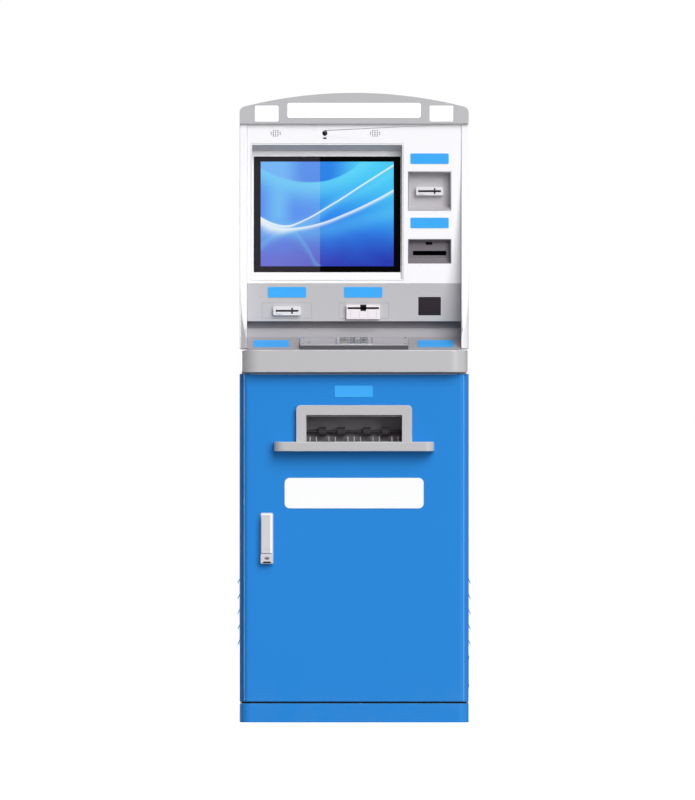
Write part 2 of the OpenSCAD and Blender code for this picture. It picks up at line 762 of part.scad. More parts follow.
// ---------- Cabinet modules ----------
pc_xs = [-170, 150];
pc_ys = [-120, 180];
pc_h = 96;
pc_vent_x = -140;
pc_vent_n = 8;
pc_vent_pitch = 22;
pc_vent_w = 12;
pc_vent_in = 20;
pc_vent_deep = 2;
pc_panel_xs = [60, 120];
pc_panel_zs = [30, 60];
pc_panel_t = 3;
module control_pc() color("dimgray") {
    difference() {
        block(pc_xs, pc_ys, [body_z, body_z + pc_h]);
        for (i = [0 : pc_vent_n - 1])
            block([0, pc_vent_w] + [1, 1] * (pc_vent_x + i * pc_vent_pitch),
                [pc_ys[0] - slack, pc_ys[0] + pc_vent_deep],
                [body_z + pc_vent_in, body_z + pc_h - pc_vent_in]);
    }
    block(pc_panel_xs, [pc_ys[0] - pc_panel_t, pc_ys[0]], pc_panel_zs + [1, 1] * body_z);
}

fan_x = -half_w + sheet_t;
fan_hub_r = 19;
fan_pin_r = 4;
module fan_frame() color("dimgray") translate([fan_x, louvre_y, fan_z]) {
    difference() {
        translate([0, -fan_w / 2, -fan_w / 2]) cube([fan_t, fan_w, fan_w]);
        along_x(fan_w / 2 - 4, -slack, fan_t + slack);
        for (y = [-1, 1], z = [-1, 1]) translate([0, y * 52.5, z * 52.5])
            along_x(2.2, -slack, fan_t + slack);
    }
    difference() {
        for (a = [0, 90]) rotate([a + 45, 0, 0])
            translate([0, -fan_w / 2 - 2, -3]) cube([3, fan_w + 4, 6]);
        along_x(fan_hub_r - 2, -slack, 2);
    }
    along_x(fan_hub_r, 0, 3);
    along_x(fan_pin_r, 2, fan_t - 3);
}

module fan_rotor() color("black") translate([fan_x, louvre_y, fan_z]) difference() {
    union() {
        along_x(fan_hub_r, 4, fan_t - 1);
        for (i = [0 : fan_blades - 1]) rotate([i * 360 / fan_blades, 0, 0])
            translate([14, 0, fan_hub_r - 2]) rotate([0, 0, 38])
                translate([-1, -14, 0]) cube([2, 24, fan_w / 2 - fan_hub_r - 6]);
    }
    along_x(fan_pin_r + run_fit, 3, fan_t - 2.5);
}

printer_z = shelf_plate_z + 3;
printer_top = shelf_z + 120;
printer_y = door_face_y + chute_back + 6;
printer_half = 170;
printer_back_y = 190;
printer_lid_in = 20;
printer_lid_ys = [printer_y + 40, printer_back_y - 40];
printer_lid_h = 22;
paper_half = 115;
paper_path_in = 60;
tray_half = 140;
tray_zs = [printer_z + 8, printer_z + 52];
tray_recess = 3;
module statement_printer() color("gainsboro") difference() {
    union() {
        block([-printer_half, printer_half], [printer_y, printer_back_y],
            [printer_z, printer_top]);
        block([-printer_half + printer_lid_in, printer_half - printer_lid_in],
            printer_lid_ys, [printer_top, printer_top + printer_lid_h]);
    }
    block([-paper_half, paper_half], [printer_y - slack, printer_y + paper_path_in],
        [roller_z - 10, roller_z + 8]);
    block([-tray_half, tray_half], [printer_y - slack, printer_y + tray_recess], tray_zs);
}

// ---------- Rear door ----------
rear_slot_n = 10;
rear_slot_half = 110;
rear_slot_h = 5;
rear_slot_pitch = 16;
rear_slot_z = deck_z - 260;
rear_lip = 14;
rear_lock_r = 11;
rear_lock_x = -half_w + 40;
module rear_door() color("royalblue") {
    difference() {
        block([-half_w + 8, half_w - 13], [rear_plate_y, rear_plate_back],
            [body_z + door_gap, deck_z - door_gap]);
        block([-half_w + 8 + rear_lip, half_w - 13 - rear_lip],
            [rear_plate_y - slack, rear_plate_back - sheet_t],
            [body_z + door_gap + rear_lip, deck_z - door_gap - rear_lip]);
        for (i = [0 : rear_slot_n - 1]) block([-rear_slot_half, rear_slot_half],
            [rear_face_y - slack, rear_face_y + rear_pan_t],
            [0, rear_slot_h] + [1, 1] * (rear_slot_z + i * rear_slot_pitch));
    }
    for (z = rear_hinge_zs) translate([0, 0, z - knuckle_l / 2]) difference() {
        union() {
            translate([rear_hinge_x, rear_hinge_y, 0])
                cylinder(h = knuckle_l, r = rear_knuckle_r);
            block([half_w - 30, rear_hinge_x], [rear_plate_back - sheet_t,
                rear_plate_back + sheet_t], [0, knuckle_l]);
        }
        translate([rear_hinge_x, rear_hinge_y, -slack])
            cylinder(h = knuckle_l + 2 * slack, r = rear_pin_r + run_fit);
    }
    translate([rear_lock_x, 0, handle_z]) {
        along_y(rear_lock_r, rear_plate_back, rear_face_y + 5);
        block([-2, 2], [rear_face_y + 5, rear_face_y + 6], [-6, 6]);
    }
}

// ---------- Front door ----------
module front_door() color("dodgerblue") difference() {
    translate([0, 0, door_z]) linear_extrude(door_h)
        front_rounded(2 * door_half, door_face_y, door_back_y, door_r);
    translate([0, 0, door_z + sheet_t]) linear_extrude(door_h - 2 * sheet_t)
        front_rounded(2 * (door_half - sheet_t), door_face_y + sheet_t, door_back_y + slack,
            door_r - sheet_t);
    block([-outlet_w / 2 - chute_wall - seam, outlet_w / 2 + chute_wall + seam],
        [door_face_y - slack, door_back_y], [shelf_z - chute_wall - seam,
        shelf_z + outlet_h + chute_wall + seam]);
    translate([pivot_x, pivot_y, door_z - slack])
        cylinder(h = door_h + 2 * slack, r = pivot_r + run_fit);
    translate([-handle_x, 0, spindle_z]) along_y(spindle_r + run_fit, door_face_y - slack,
        door_back_y);
}

sign_w = 355;
sign_h = 78;
sign_z = shelf_z - 131.4;
door_label_z = shelf_z + 128.5;
module door_plates() color("white") {
    face_profile(door_face_y - 1.2, door_face_y) translate([0, sign_z])
        round_rect(sign_w, sign_h, 13);
    face_profile(door_face_y - 1.2, door_face_y) translate([-1.2, door_label_z])
        round_rect(label_w, 29.7, 4);
}

rib_n = 15;
module outlet_bezel() color("darkgray") {
    difference() {
        union() {
            face_profile(door_face_y - bezel_proud, door_face_y) {
                translate([0, shelf_z + (outlet_h + bezel_border) / 2])
                    round_rect(outlet_w + 2 * bezel_border, outlet_h + bezel_border, bezel_r);
                translate([-outlet_w / 2 - bezel_border, shelf_z])
                    square([outlet_w + 2 * bezel_border, 2 * bezel_r]);
            }
            block([-outlet_w / 2 - chute_wall, outlet_w / 2 + chute_wall],
                [door_face_y, door_face_y + chute_back],
                [shelf_z - chute_wall, shelf_z + outlet_h + chute_wall]);
        }
        block([-outlet_w / 2, outlet_w / 2], [door_face_y - bezel_proud - slack,
            door_face_y + chute_back - 3], [shelf_z, shelf_z + outlet_h]);
        block([-paper_half, paper_half], [door_face_y, door_face_y + chute_back + slack],
            [roller_z - 12, roller_z + 8]);
        translate([0, roller_y, roller_z]) along_x(roller_shaft_r + run_fit,
            -outlet_w / 2 - chute_wall - slack, outlet_w / 2 + chute_wall + slack);
    }
    for (i = [0 : rib_n - 1]) {
        x = (i - (rib_n - 1) / 2) * (outlet_w - 20) / (rib_n - 1);
        if (min([for (r = roller_xs) abs(x - r)]) > roller_l / 2 + 2)
            block([x - 0.8, x + 0.8], [door_face_y + 6, roller_y + 2],
                [shelf_z - 1, shelf_z + 13]);
    }
}

module outlet_shelf() color("silver") difference() {
    translate([0, 0, shelf_z - shelf_t]) linear_extrude(shelf_t)
        front_rounded(shelf_w, shelf_front_y, door_face_y, shelf_r);
    translate([0, 0, shelf_z - shelf_t - slack]) linear_extrude(shelf_t - 5 + slack)
        front_rounded(shelf_w - 10, shelf_front_y + 5, door_face_y - 3, shelf_r - 5);
}

module eject_rollers() color("black") translate([0, roller_y, roller_z]) {
    along_x(roller_shaft_r, -outlet_w / 2 - chute_wall - 4, outlet_w / 2 + chute_wall + 4);
    for (x = roller_xs) along_x(roller_r, x - roller_l / 2, x + roller_l / 2);
}

// ---------- Handle and lock ----------
lever_w = handle_w - 4;
foot_gap = 0.6;
// The lever's lower corners swing on this radius, just above the foot
lever_sweep = sqrt(pow(spindle_z - lever_end_z, 2) + pow(lever_w / 2, 2));
handle_foot_h = spindle_z - lever_sweep - foot_gap - (handle_z - handle_l / 2);
module handle_base() color("silver") translate([-handle_x, 0, 0]) difference() {
    union() {
        face_profile(door_face_y - base_t, door_face_y) translate([0, handle_z])
            round_rect(handle_w, handle_l, 4);
        face_profile(lever_face_y, door_face_y - base_t)
            translate([0, handle_z - handle_l / 2 + handle_foot_h / 2])
                round_rect(handle_w, handle_foot_h, 3);
    }
    translate([0, 0, spindle_z]) along_y(spindle_r + run_fit, door_face_y - base_t - slack,
        door_face_y + slack);
    translate([0, 0, handle_z - handle_l / 2 + 13]) {
        along_y(5, lever_face_y - slack, lever_face_y + 2);
        block([-1, 1], [lever_face_y, lever_face_y + 8], [-3.5, 3.5]);
    }
}

module handle_lever() color("gainsboro") translate([-handle_x, 0, 0]) {
    difference() {
        face_profile(lever_face_y, lever_face_y + lever_skin) {
            translate([0, spindle_z]) circle(lever_w / 2);
            translate([-lever_w / 2, lever_end_z]) square([lever_w, spindle_z - lever_end_z]);
        }
        block([-9, 9], [lever_face_y - slack, lever_face_y + 1], [lever_end_z + 6,
            lever_end_z + 9]);
    }
    for (s = [-1, 1]) block([s * (lever_w / 2 - 1.5) - 1.5, s * (lever_w / 2 - 1.5) + 1.5],
        [lever_face_y + lever_skin - 0.5, door_face_y - base_t - 2.5],
        [lever_end_z, spindle_z + 4]);
    translate([0, lift_y, spindle_z]) along_x(lift_pin_r, -lever_w / 2 + 2, lever_w / 2 - 2);
    block([-lever_w / 2, lever_w / 2], [lever_face_y + lever_skin - 0.5,
        door_face_y - base_t - 2.5], [lever_end_z, lever_end_z + 3]);
}

// Spindle, its tongue in the lever, and the two-armed cam behind the door skin
module lock_cam() color("dimgray") translate([-handle_x, 0, spindle_z]) {
    along_y(spindle_r, door_face_y - base_t - 1, cam_y + cam_t);
    difference() {
        union() {
            translate([0, lift_y, 0]) along_x(tongue_r, -tongue_half, tongue_half);
            block([-tongue_half, tongue_half], [lift_y, door_face_y - base_t],
                [-tongue_r, tongue_r]);
        }
        translate([0, lift_y, 0])
            along_x(lift_pin_r + run_fit, -tongue_half - slack, tongue_half + slack);
    }
    along_y(crank_r + crank_pin_r + 2, cam_y, cam_y + cam_t);
    for (a = [135, -45]) translate([crank_r * cos(a), 0, crank_r * sin(a)])
        along_y(crank_pin_r, cam_y + cam_t - slack, rod_y + rod_t - 0.5);
}

// A flat rod whose foot carries the slot that a crank pin rides in
module lock_rod(side, angle, z_end) {
    pin_z = spindle_z + crank_r * sin(angle);
    slot_l = crank_r * (1 - cos(45)) + 2 * (crank_pin_r + loose_fit) + 2;
    rod_x = side * crank_r * (1 + cos(45)) / 2;
    translate([-handle_x, 0, 0]) difference() {
        union() {
            block([rod_x - rod_w / 2, rod_x + rod_w / 2], [rod_y, rod_y + rod_t],
                [min(pin_z, z_end), max(pin_z, z_end)]);
            window(rod_x, pin_z, slot_l + 3, rod_w, rod_y, rod_y + rod_t);
        }
        window(rod_x, pin_z, slot_l, 2 * (crank_pin_r + loose_fit), rod_y - slack,
            rod_y + rod_t + slack);
    }
}
module upper_lock_rod() color("darkgray") lock_rod(-1, 135, deck_z - 12);
module lower_lock_rod() color("darkgray") lock_rod(1, -45, body_z + 12);

plinth_skirt();
base_plate();
levelling_feet();
corner_frame();
left_side_panel();
right_side_panel();
inlet_cover();
deck_plate();
waist_belt();
desk_top();
keypad_base();
keypad_plate();
left_cheek();
right_cheek();
rear_hood();
upper_fascia();
lower_fascia();
screen_surround();
touch_glass();
lcd_module();
crown_header();
crown_panels();
function_labels();
speakers();
camera();
card_recess();
card_bezel();
card_reader();
note_acceptor();
id_reader();
receipt_bezel();
receipt_printer();
scanner_window();
control_pc();
fan_frame();
statement_printer();
fan_rotor();
rear_door();
front_door();
door_plates();
outlet_bezel();
outlet_shelf();
eject_rollers();
handle_base();
handle_lever();
lock_cam();
upper_lock_rod();
lower_lock_rod();
for (row = [0 : 3], col = [0 : 2])
    key(row, col);
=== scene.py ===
"""Finished covers, screen, readers, keys and fixings of a free-standing bank self-service terminal."""

import json
import math

import bmesh
import bpy
from mathutils import Matrix, Vector

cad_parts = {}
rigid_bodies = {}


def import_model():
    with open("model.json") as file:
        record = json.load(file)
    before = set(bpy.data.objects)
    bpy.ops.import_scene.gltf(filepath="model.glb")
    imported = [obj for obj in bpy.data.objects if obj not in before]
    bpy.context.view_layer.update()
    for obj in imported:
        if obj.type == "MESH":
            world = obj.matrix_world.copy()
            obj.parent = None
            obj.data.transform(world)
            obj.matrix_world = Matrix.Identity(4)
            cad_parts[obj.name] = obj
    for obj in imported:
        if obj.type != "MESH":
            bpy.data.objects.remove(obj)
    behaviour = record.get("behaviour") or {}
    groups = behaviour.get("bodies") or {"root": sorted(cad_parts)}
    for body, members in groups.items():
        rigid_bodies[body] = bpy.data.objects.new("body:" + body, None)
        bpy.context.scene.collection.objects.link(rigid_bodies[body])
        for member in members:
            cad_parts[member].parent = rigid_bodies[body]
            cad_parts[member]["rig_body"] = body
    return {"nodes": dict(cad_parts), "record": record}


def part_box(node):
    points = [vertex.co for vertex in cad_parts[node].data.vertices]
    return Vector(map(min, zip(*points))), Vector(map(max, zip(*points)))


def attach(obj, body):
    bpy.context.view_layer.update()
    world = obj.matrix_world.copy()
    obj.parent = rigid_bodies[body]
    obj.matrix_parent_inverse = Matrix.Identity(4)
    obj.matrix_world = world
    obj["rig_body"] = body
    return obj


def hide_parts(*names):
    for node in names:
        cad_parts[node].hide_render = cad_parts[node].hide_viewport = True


bl_info = {
    "name": "Self-service terminal finisher",
    "version": (1, 0, 0),
    "blender": (4, 5, 0),
    "location": "View3D > Sidebar > Terminal",
    "description": "Dresses a packed self-service terminal with covers, screen, keys and fixings",
    "category": "Object",
}

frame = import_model()
NODES = frame["nodes"]
SLOTS = {part["node"]: part["material_slot"] for part in frame["record"]["subparts"]}
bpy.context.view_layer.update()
SMOOTH_LIMIT = math.radians(15)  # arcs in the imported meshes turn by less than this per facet
FLAT_TURN = math.radians(0.5)  # faces that turn by less than this lie in one plane
SAME_PLANE = math.cos(FLAT_TURN)
SCREW_SEED = 11
PAINTED_REFLECTION_LINE = -0.0873  # across the glass: a painted pale reflection lies left of here
KEY_DIRECTION = (0.36, -0.72, 0.59)  # from the cabinet towards the main light
STRIP_DIRECTION = (0.66, -0.74, 0.12)  # from the cabinet towards the low light that picks out corners
BACK_DIRECTION = (-0.50, 0.80, 0.33)  # from the cabinet towards the light behind it


def srgb(red, green, blue):
    """An 8-bit display colour as a linear RGBA tuple."""
    channels = [value / 255 for value in (red, green, blue)]
    linear = [c / 12.92 if c <= 0.04045 else ((c + 0.055) / 1.055) ** 2.4 for c in channels]
    return (*linear, 1.0)


# ---------- Settings ----------
def colour_setting(name, description, default):
    return bpy.props.FloatVectorProperty(
        name=name, description=description, default=default, size=4, subtype="COLOR", min=0, max=1)


def length_setting(name, description, default, high=0.05):
    return bpy.props.FloatProperty(
        name=name, description=description, default=default, min=0.00002, max=high,
        unit="LENGTH", subtype="DISTANCE", precision=5)


class CabinetSettings(bpy.types.PropertyGroup):
    door_blue: colour_setting("Door blue", "Powder coat of the door and plinth", srgb(33, 133, 215))
    side_blue: colour_setting("Side blue", "Powder coat of the side panels", srgb(36, 124, 206))
    belt_grey: colour_setting("Belt grey", "Paint of the belt and the crown", srgb(192, 191, 194))
    panel_edge: length_setting("Panel edge", "Radius of the folded sheet edges", 0.0006)
    door_edge: length_setting("Door edge", "Radius of the front door's rims", 0.0014)
    seal_radius: length_setting("Seal radius", "Half the width of the door's rubber seal", 0.0019)


class ConsoleSettings(bpy.types.PropertyGroup):
    console_white: colour_setting("Console white", "Paint of the fascia and cheeks", srgb(250, 249, 252))
    # painted shade: the tone that the cheeks fade to towards the desk
    cheek_foot: colour_setting(
        "Painted cheek shade", "Tone that the cheeks fade to at the desk", srgb(240, 238, 242))
    label_blue: colour_setting("Label blue", "Function labels", srgb(60, 172, 250))
    cheek_edge: length_setting("Cheek edge", "Radius of the cheeks' edges", 0.0030)
    crown_edge: length_setting("Crown edge", "Radius of the crown's edges", 0.0018)
    outline_width: length_setting("Outline width", "Width of the joint round a reader's plate", 0.0007)


class ScreenSettings(bpy.types.PropertyGroup):
    sky: colour_setting("Upper colour", "Picture colour at the top", srgb(72, 205, 250))
    middle: colour_setting("Middle colour", "Picture colour half way down", srgb(44, 132, 240))
    deep: colour_setting("Lower colour", "Picture colour at the bottom", srgb(38, 52, 178))
    picture_margin: length_setting(
        "Picture margin", "Black border of the glass beside the picture", 0.0172)
    picture_height: length_setting("Picture height", "Height of the lit picture", 0.2695, high=0.5)
    brightness: bpy.props.FloatProperty(
        name="Brightness", description="Strength of the picture's light", default=0.96, min=0, max=4)


class KeypadSettings(bpy.types.PropertyGroup):
    digit_height: length_setting("Digit height", "Height of the digits on the keys", 0.0078)
    digit_proud: length_setting("Digit relief", "How far the digits stand out", 0.00022)
    clear_colour: colour_setting("Clear bar", "Bar on the clear key", srgb(236, 178, 32))
    enter_colour: colour_setting("Enter bar", "Bar on the enter key", srgb(46, 160, 84))


class FixingSettings(bpy.types.PropertyGroup):
    screw_radius: length_setting("Screw radius", "Radius of a screw head", 0.0029)
    screw_height: length_setting("Screw height", "Height of a screw head", 0.0014)
    hole_radius: length_setting("Grille hole", "Radius of a speaker hole", 0.0016)
    hole_pitch: length_setting("Grille pitch", "Distance between speaker holes", 0.0058)


class StageSettings(bpy.types.PropertyGroup):
    lens: bpy.props.FloatProperty(
        name="Lens", description="Focal length of the camera", default=0.800, unit="CAMERA")
    key_strength: bpy.props.FloatProperty(
        name="Key light", description="Strength of the main soft light", default=2.55, min=0, max=20)
    strip_strength: bpy.props.FloatProperty(
        name="Strip light", description="Strength of the low light from the right", default=0.42,
        min=0, max=20)
    back_strength: bpy.props.FloatProperty(
        name="Back light", description="Strength of the light behind the cabinet", default=2.0,
        min=0, max=20)
    key_spread: bpy.props.FloatProperty(
        name="Key spread", description="Angle that the main light fills", default=math.radians(42),
        min=0, max=math.pi, subtype="ANGLE")
    sky_level: bpy.props.FloatProperty(
        name="Room light", description="Level of the light from all round", default=0.32, min=0, max=4)
    floor_glow: bpy.props.FloatProperty(
        name="Floor glow", description="Light of its own that the eye sees on the floor", default=0.9,
        min=0, max=2)


SETTINGS = {
    "terminal_cabinet": CabinetSettings, "terminal_console": ConsoleSettings,
    "terminal_screen": ScreenSettings, "terminal_keypad": KeypadSettings,
    "terminal_fixings": FixingSettings, "terminal_stage": StageSettings,
}


# ---------- Node tree helpers ----------
def node(tree, kind, inputs=None, **settings):
    """Adds a node, sets its properties, and fills or links its inputs."""
    made = tree.nodes.new(kind)
    for key, value in settings.items():
        setattr(made, key, value)
    for key, value in (inputs or {}).items():
        put(tree, made.inputs[key], value)
    return made


def put(tree, socket, value):
    if isinstance(value, bpy.types.NodeSocket):
        tree.links.new(value, socket)
    else:
        socket.default_value = value


def calc(tree, operation, first, second=0.0, clamp=False):
    made = node(tree, "ShaderNodeMath", {0: first, 1: second}, operation=operation)
    made.use_clamp = clamp
    return made.outputs[0]


def remap(tree, value, low, high, start=0.0, end=1.0, smooth=True):
    return node(tree, "ShaderNodeMapRange", {
        "Value": value, "From Min": low, "From Max": high, "To Min": start, "To Max": end},
        interpolation_type="SMOOTHSTEP" if smooth else "LINEAR").outputs["Result"]


def mixed(tree, factor, first, second):
    made = node(tree, "ShaderNodeMix", data_type="RGBA", clamp_factor=True)
    for index, value in ((0, factor), (6, first), (7, second)):
        put(tree, made.inputs[index], value)
    return made.outputs[2]


def noise(tree, scale, detail=2.0, vector=None):
    made = node(tree, "ShaderNodeTexNoise", {"Scale": scale, "Detail": detail})
    put(tree, made.inputs["Vector"], vector or object_point(tree))
    return made.outputs[0]


def object_point(tree):
    return node(tree, "ShaderNodeTexCoord").outputs["Object"]


def shader_group(name, inputs, outputs):
    """A new shader node group, with its given values and its results."""
    group = bpy.data.node_groups.new(name, "ShaderNodeTree")
    for label, kind, value in inputs:
        group.interface.new_socket(label, in_out="INPUT", socket_type=kind).default_value = value
    for label, kind in outputs:
        group.interface.new_socket(label, in_out="OUTPUT", socket_type=kind)
    return group, node(group, "NodeGroupInput").outputs, node(group, "NodeGroupOutput").inputs


FLOAT, COLOUR = "NodeSocketFloat", "NodeSocketColor"
GREY = (0.5, 0.5, 0.5, 1.0)


def coat_grain_group():
    """Orange peel of a powder coat and slow drifts in its tone and gloss."""
    group, given, out = shader_group(
        "Coat grain",
        [("Colour", COLOUR, GREY), ("Drift Colour", COLOUR, GREY), ("Drift", FLOAT, 0.3),
         ("Roughness", FLOAT, 0.4), ("Spread", FLOAT, 0.1), ("Grain Scale", FLOAT, 900.0)],
        [("Colour", COLOUR), ("Roughness", FLOAT), ("Height", FLOAT)])
    point = object_point(group)
    broad = noise(group, 3.1, 3.0, point)
    grain = noise(group, given["Grain Scale"], 2.0, point)
    mask = calc(group, "MULTIPLY", remap(group, broad, 0.35, 0.7), given["Drift"])
    put(group, out["Colour"], mixed(group, mask, given["Colour"], given["Drift Colour"]))
    swing = calc(group, "ADD", calc(group, "MULTIPLY", broad, 0.7), calc(group, "MULTIPLY", grain, 0.3))
    swing = calc(group, "MULTIPLY", calc(group, "SUBTRACT", swing, 0.5), given["Spread"])
    put(group, out["Roughness"], calc(group, "ADD", given["Roughness"], swing, clamp=True))
    put(group, out["Height"], grain)
    return group


def edge_wear_group():
    """Lighter rubbed tone along the rounded edges, broken up in patches."""
    group, given, out = shader_group(
        "Edge wear",
        [("Colour", COLOUR, GREY), ("Worn Colour", COLOUR, GREY), ("Amount", FLOAT, 0.4),
         ("Patch Scale", FLOAT, 24.0)],
        [("Colour", COLOUR), ("Mask", FLOAT)])
    band = node(group, "ShaderNodeAttribute", attribute_type="GEOMETRY",
                attribute_name="edge_band").outputs["Fac"]
    patch = remap(group, noise(group, given["Patch Scale"], 4.0), 0.38, 0.66)
    mask = calc(group, "MULTIPLY", calc(group, "MULTIPLY", band, patch), given["Amount"])
    put(group, out["Colour"], mixed(group, mask, given["Colour"], given["Worn Colour"]))
    put(group, out["Mask"], mask)
    return group


def low_dust_group():
    """Dust and shoe marks that gather towards the floor."""
    group, given, out = shader_group(
        "Low dust",
        [("Colour", COLOUR, GREY), ("Dust Colour", COLOUR, srgb(150, 150, 152)),
         ("Level", FLOAT, 0.12), ("Amount", FLOAT, 0.2)],
        [("Colour", COLOUR)])
    point = object_point(group)
    height = node(group, "ShaderNodeSeparateXYZ", {0: point}).outputs["Z"]
    near = calc(group, "SUBTRACT", 1.0, calc(group, "DIVIDE", height, given["Level"]), clamp=True)
    patch = remap(group, noise(group, 17.0, 5.0, point), 0.3, 0.75)
    mask = calc(group, "MULTIPLY", calc(group, "MULTIPLY", near, patch), given["Amount"])
    put(group, out["Colour"], mixed(group, mask, given["Colour"], given["Dust Colour"]))
    return group


def brushed_group():
    """Fine lines along X on turned or brushed metal."""
    group, given, out = shader_group(
        "Brushed metal",
        [("Colour", COLOUR, GREY), ("Line Colour", COLOUR, GREY), ("Roughness", FLOAT, 0.3),
         ("Spread", FLOAT, 0.15), ("Line Scale", FLOAT, 1500.0)],
        [("Colour", COLOUR), ("Roughness", FLOAT), ("Height", FLOAT)])
    stretch = node(group, "ShaderNodeMapping", {"Vector": object_point(group), "Scale": (0.02, 1, 1)})
    lines = noise(group, given["Line Scale"], 3.0, stretch.outputs[0])
    smudge = noise(group, 38.0, 3.0)
    put(group, out["Colour"], mixed(
        group, remap(group, lines, 0.35, 0.7), given["Colour"], given["Line Colour"]))
    swing = calc(group, "MULTIPLY", calc(group, "SUBTRACT", smudge, 0.45), given["Spread"])
    put(group, out["Roughness"], calc(group, "ADD", given["Roughness"], swing, clamp=True))
    put(group, out["Height"], lines)
    return group


def light_streak_group():
    """A band of light round a path: bright at its middle line and soft at its two sides."""
    group, given, out = shader_group(
        "Light streak",
        [("Across", FLOAT, 0.5), ("Path", FLOAT, 0.5), ("Width Above", FLOAT, 0.01),
         ("Width Below", FLOAT, 0.05), ("Strength", FLOAT, 1.0)],
        [("Mask", FLOAT)])
    offset = calc(group, "SUBTRACT", given["Across"], given["Path"])
    above = calc(group, "DIVIDE", calc(group, "MAXIMUM", offset, 0.0), given["Width Above"])
    below = calc(group, "DIVIDE", calc(group, "MINIMUM", offset, 0.0), given["Width Below"])
    span = calc(group, "ADD", calc(group, "POWER", above, 2.0),
                calc(group, "MULTIPLY", below, below))
    fade = calc(group, "POWER", math.e, calc(group, "MULTIPLY", span, -1.0))
    put(group, out["Mask"], calc(group, "MULTIPLY", fade, given["Strength"], clamp=True))
    return group


GROUP_MAKERS = {
    "Coat grain": coat_grain_group, "Edge wear": edge_wear_group, "Low dust": low_dust_group,
    "Brushed metal": brushed_group, "Light streak": light_streak_group,
}


def shared(tree, name, inputs):
    """Places a shared group in a material with that material's own values."""
    group = bpy.data.node_groups.get(name) or GROUP_MAKERS[name]()
    made = tree.nodes.new("ShaderNodeGroup")
    made.node_tree = group
    for key, value in inputs.items():
        put(tree, made.inputs[key], value)
    return made.outputs


def blank_material(name):
    material = bpy.data.materials.new(name)
    material.use_nodes = True
    return material, material.node_tree, material.node_tree.nodes["Principled BSDF"]


def shade(colour, factor):
    return (*[min(1.0, c * factor) for c in colour[:3]], 1.0)


def raised_normal(tree, shader, height, strength, distance):
    bump = node(tree, "ShaderNodeBump", {
        "Height": height, "Strength": strength, "Distance": distance})
    tree.links.new(bump.outputs[0], shader.inputs["Normal"])


def coated(name, colour, roughness=0.42, drift=0.3, spread=0.12, grain=900.0, relief=0.12,
           worn=None, wear=0.35, dust=0.0, coat=0.0, metallic=0.0, foot=None, shine=0.3,
           coat_roughness=0.15):
    """Painted, moulded or plated stock: grain, slow drift in tone, rubbed edges, low dust, and an
    optional painted shade that darkens it towards the bottom.
    """
    material, tree, shader = blank_material(name)
    grain_out = shared(tree, "Coat grain", {
        "Colour": colour, "Drift Colour": shade(colour, 0.9), "Drift": drift,
        "Roughness": roughness, "Spread": spread, "Grain Scale": grain})
    tone = grain_out["Colour"]
    # painted shade: the colour fades to a darker tone towards the bottom
    if foot:
        low, high, shade_colour = foot
        height = node(tree, "ShaderNodeSeparateXYZ", {0: object_point(tree)}).outputs["Z"]
        tone = mixed(tree, remap(tree, height, low, high), shade_colour, tone)
    tone = shared(tree, "Edge wear", {
        "Colour": tone, "Worn Colour": worn or shade(colour, 1.3), "Amount": wear})["Colour"]
    if dust:
        tone = shared(tree, "Low dust", {"Colour": tone, "Amount": dust})["Colour"]
    tree.links.new(tone, shader.inputs["Base Color"])
    tree.links.new(grain_out["Roughness"], shader.inputs["Roughness"])
    raised_normal(tree, shader, grain_out["Height"], relief, 0.0002)
    shader.inputs["Metallic"].default_value = metallic
    shader.inputs["Specular IOR Level"].default_value = shine
    shader.inputs["Coat Weight"].default_value = coat
    shader.inputs["Coat Roughness"].default_value = coat_roughness
    return material


def brushed(name, colour, roughness, spread, relief):
    """Bare or plated metal with fine lines and finger smudges."""
    material, tree, shader = blank_material(name)
    lines_out = shared(tree, "Brushed metal", {
        "Colour": colour, "Line Colour": shade(colour, 0.86), "Roughness": roughness,
        "Spread": spread})
    tone = shared(tree, "Edge wear", {
        "Colour": lines_out["Colour"], "Worn Colour": shade(colour, 1.2), "Amount": 0.5})
    tree.links.new(tone["Colour"], shader.inputs["Base Color"])
    tree.links.new(lines_out["Roughness"], shader.inputs["Roughness"])
    raised_normal(tree, shader, lines_out["Height"], relief, 0.0001)
    shader.inputs["Metallic"].default_value = 1.0
    return material


def light_panel_finish():
    """White acrylic with an even glow that drifts a little in tone."""
    material, tree, shader = blank_material("Opal acrylic")
    cloud = remap(tree, noise(tree, 9.0, 2.0), 0.3, 0.75)
    tree.links.new(mixed(tree, cloud, srgb(255, 255, 255), srgb(249, 250, 253)),
                   shader.inputs["Base Color"])
    tree.links.new(mixed(tree, cloud, srgb(255, 255, 255), srgb(246, 248, 255)),
                   shader.inputs["Emission Color"])
    shader.inputs["Emission Strength"].default_value = 0.3
    tree.links.new(remap(tree, noise(tree, 60.0, 3.0), 0.3, 0.7, 0.22, 0.34),
                   shader.inputs["Roughness"])
    return material


def dark_glass(name, colour, roughness=0.05, painted_reflection=None, coat=0.05):
    """Black glass with finger smudges; a painted reflection lifts the tone left of a line across the
    pane.
    """
    material, tree, shader = blank_material(name)
    point = object_point(tree)
    smudge = remap(tree, noise(tree, 26.0, 4.0, point), 0.45, 0.8, roughness, roughness + 0.14)
    tree.links.new(smudge, shader.inputs["Roughness"])
    tone = mixed(tree, remap(tree, noise(tree, 8.0, 2.0, point), 0.3, 0.8), colour, shade(colour, 0.7))
    if painted_reflection:
        edge_x, painted_reflection_colour = painted_reflection
        across = node(tree, "ShaderNodeSeparateXYZ", {0: point}).outputs["X"]
        tone = mixed(tree, remap(tree, across, edge_x + 0.0006, edge_x - 0.0006), tone, painted_reflection_colour)
    tree.links.new(tone, shader.inputs["Base Color"])
    shader.inputs["Specular IOR Level"].default_value = 0.05
    shader.inputs["Coat Weight"].default_value = coat
    shader.inputs["Coat Roughness"].default_value = 0.03
    return material


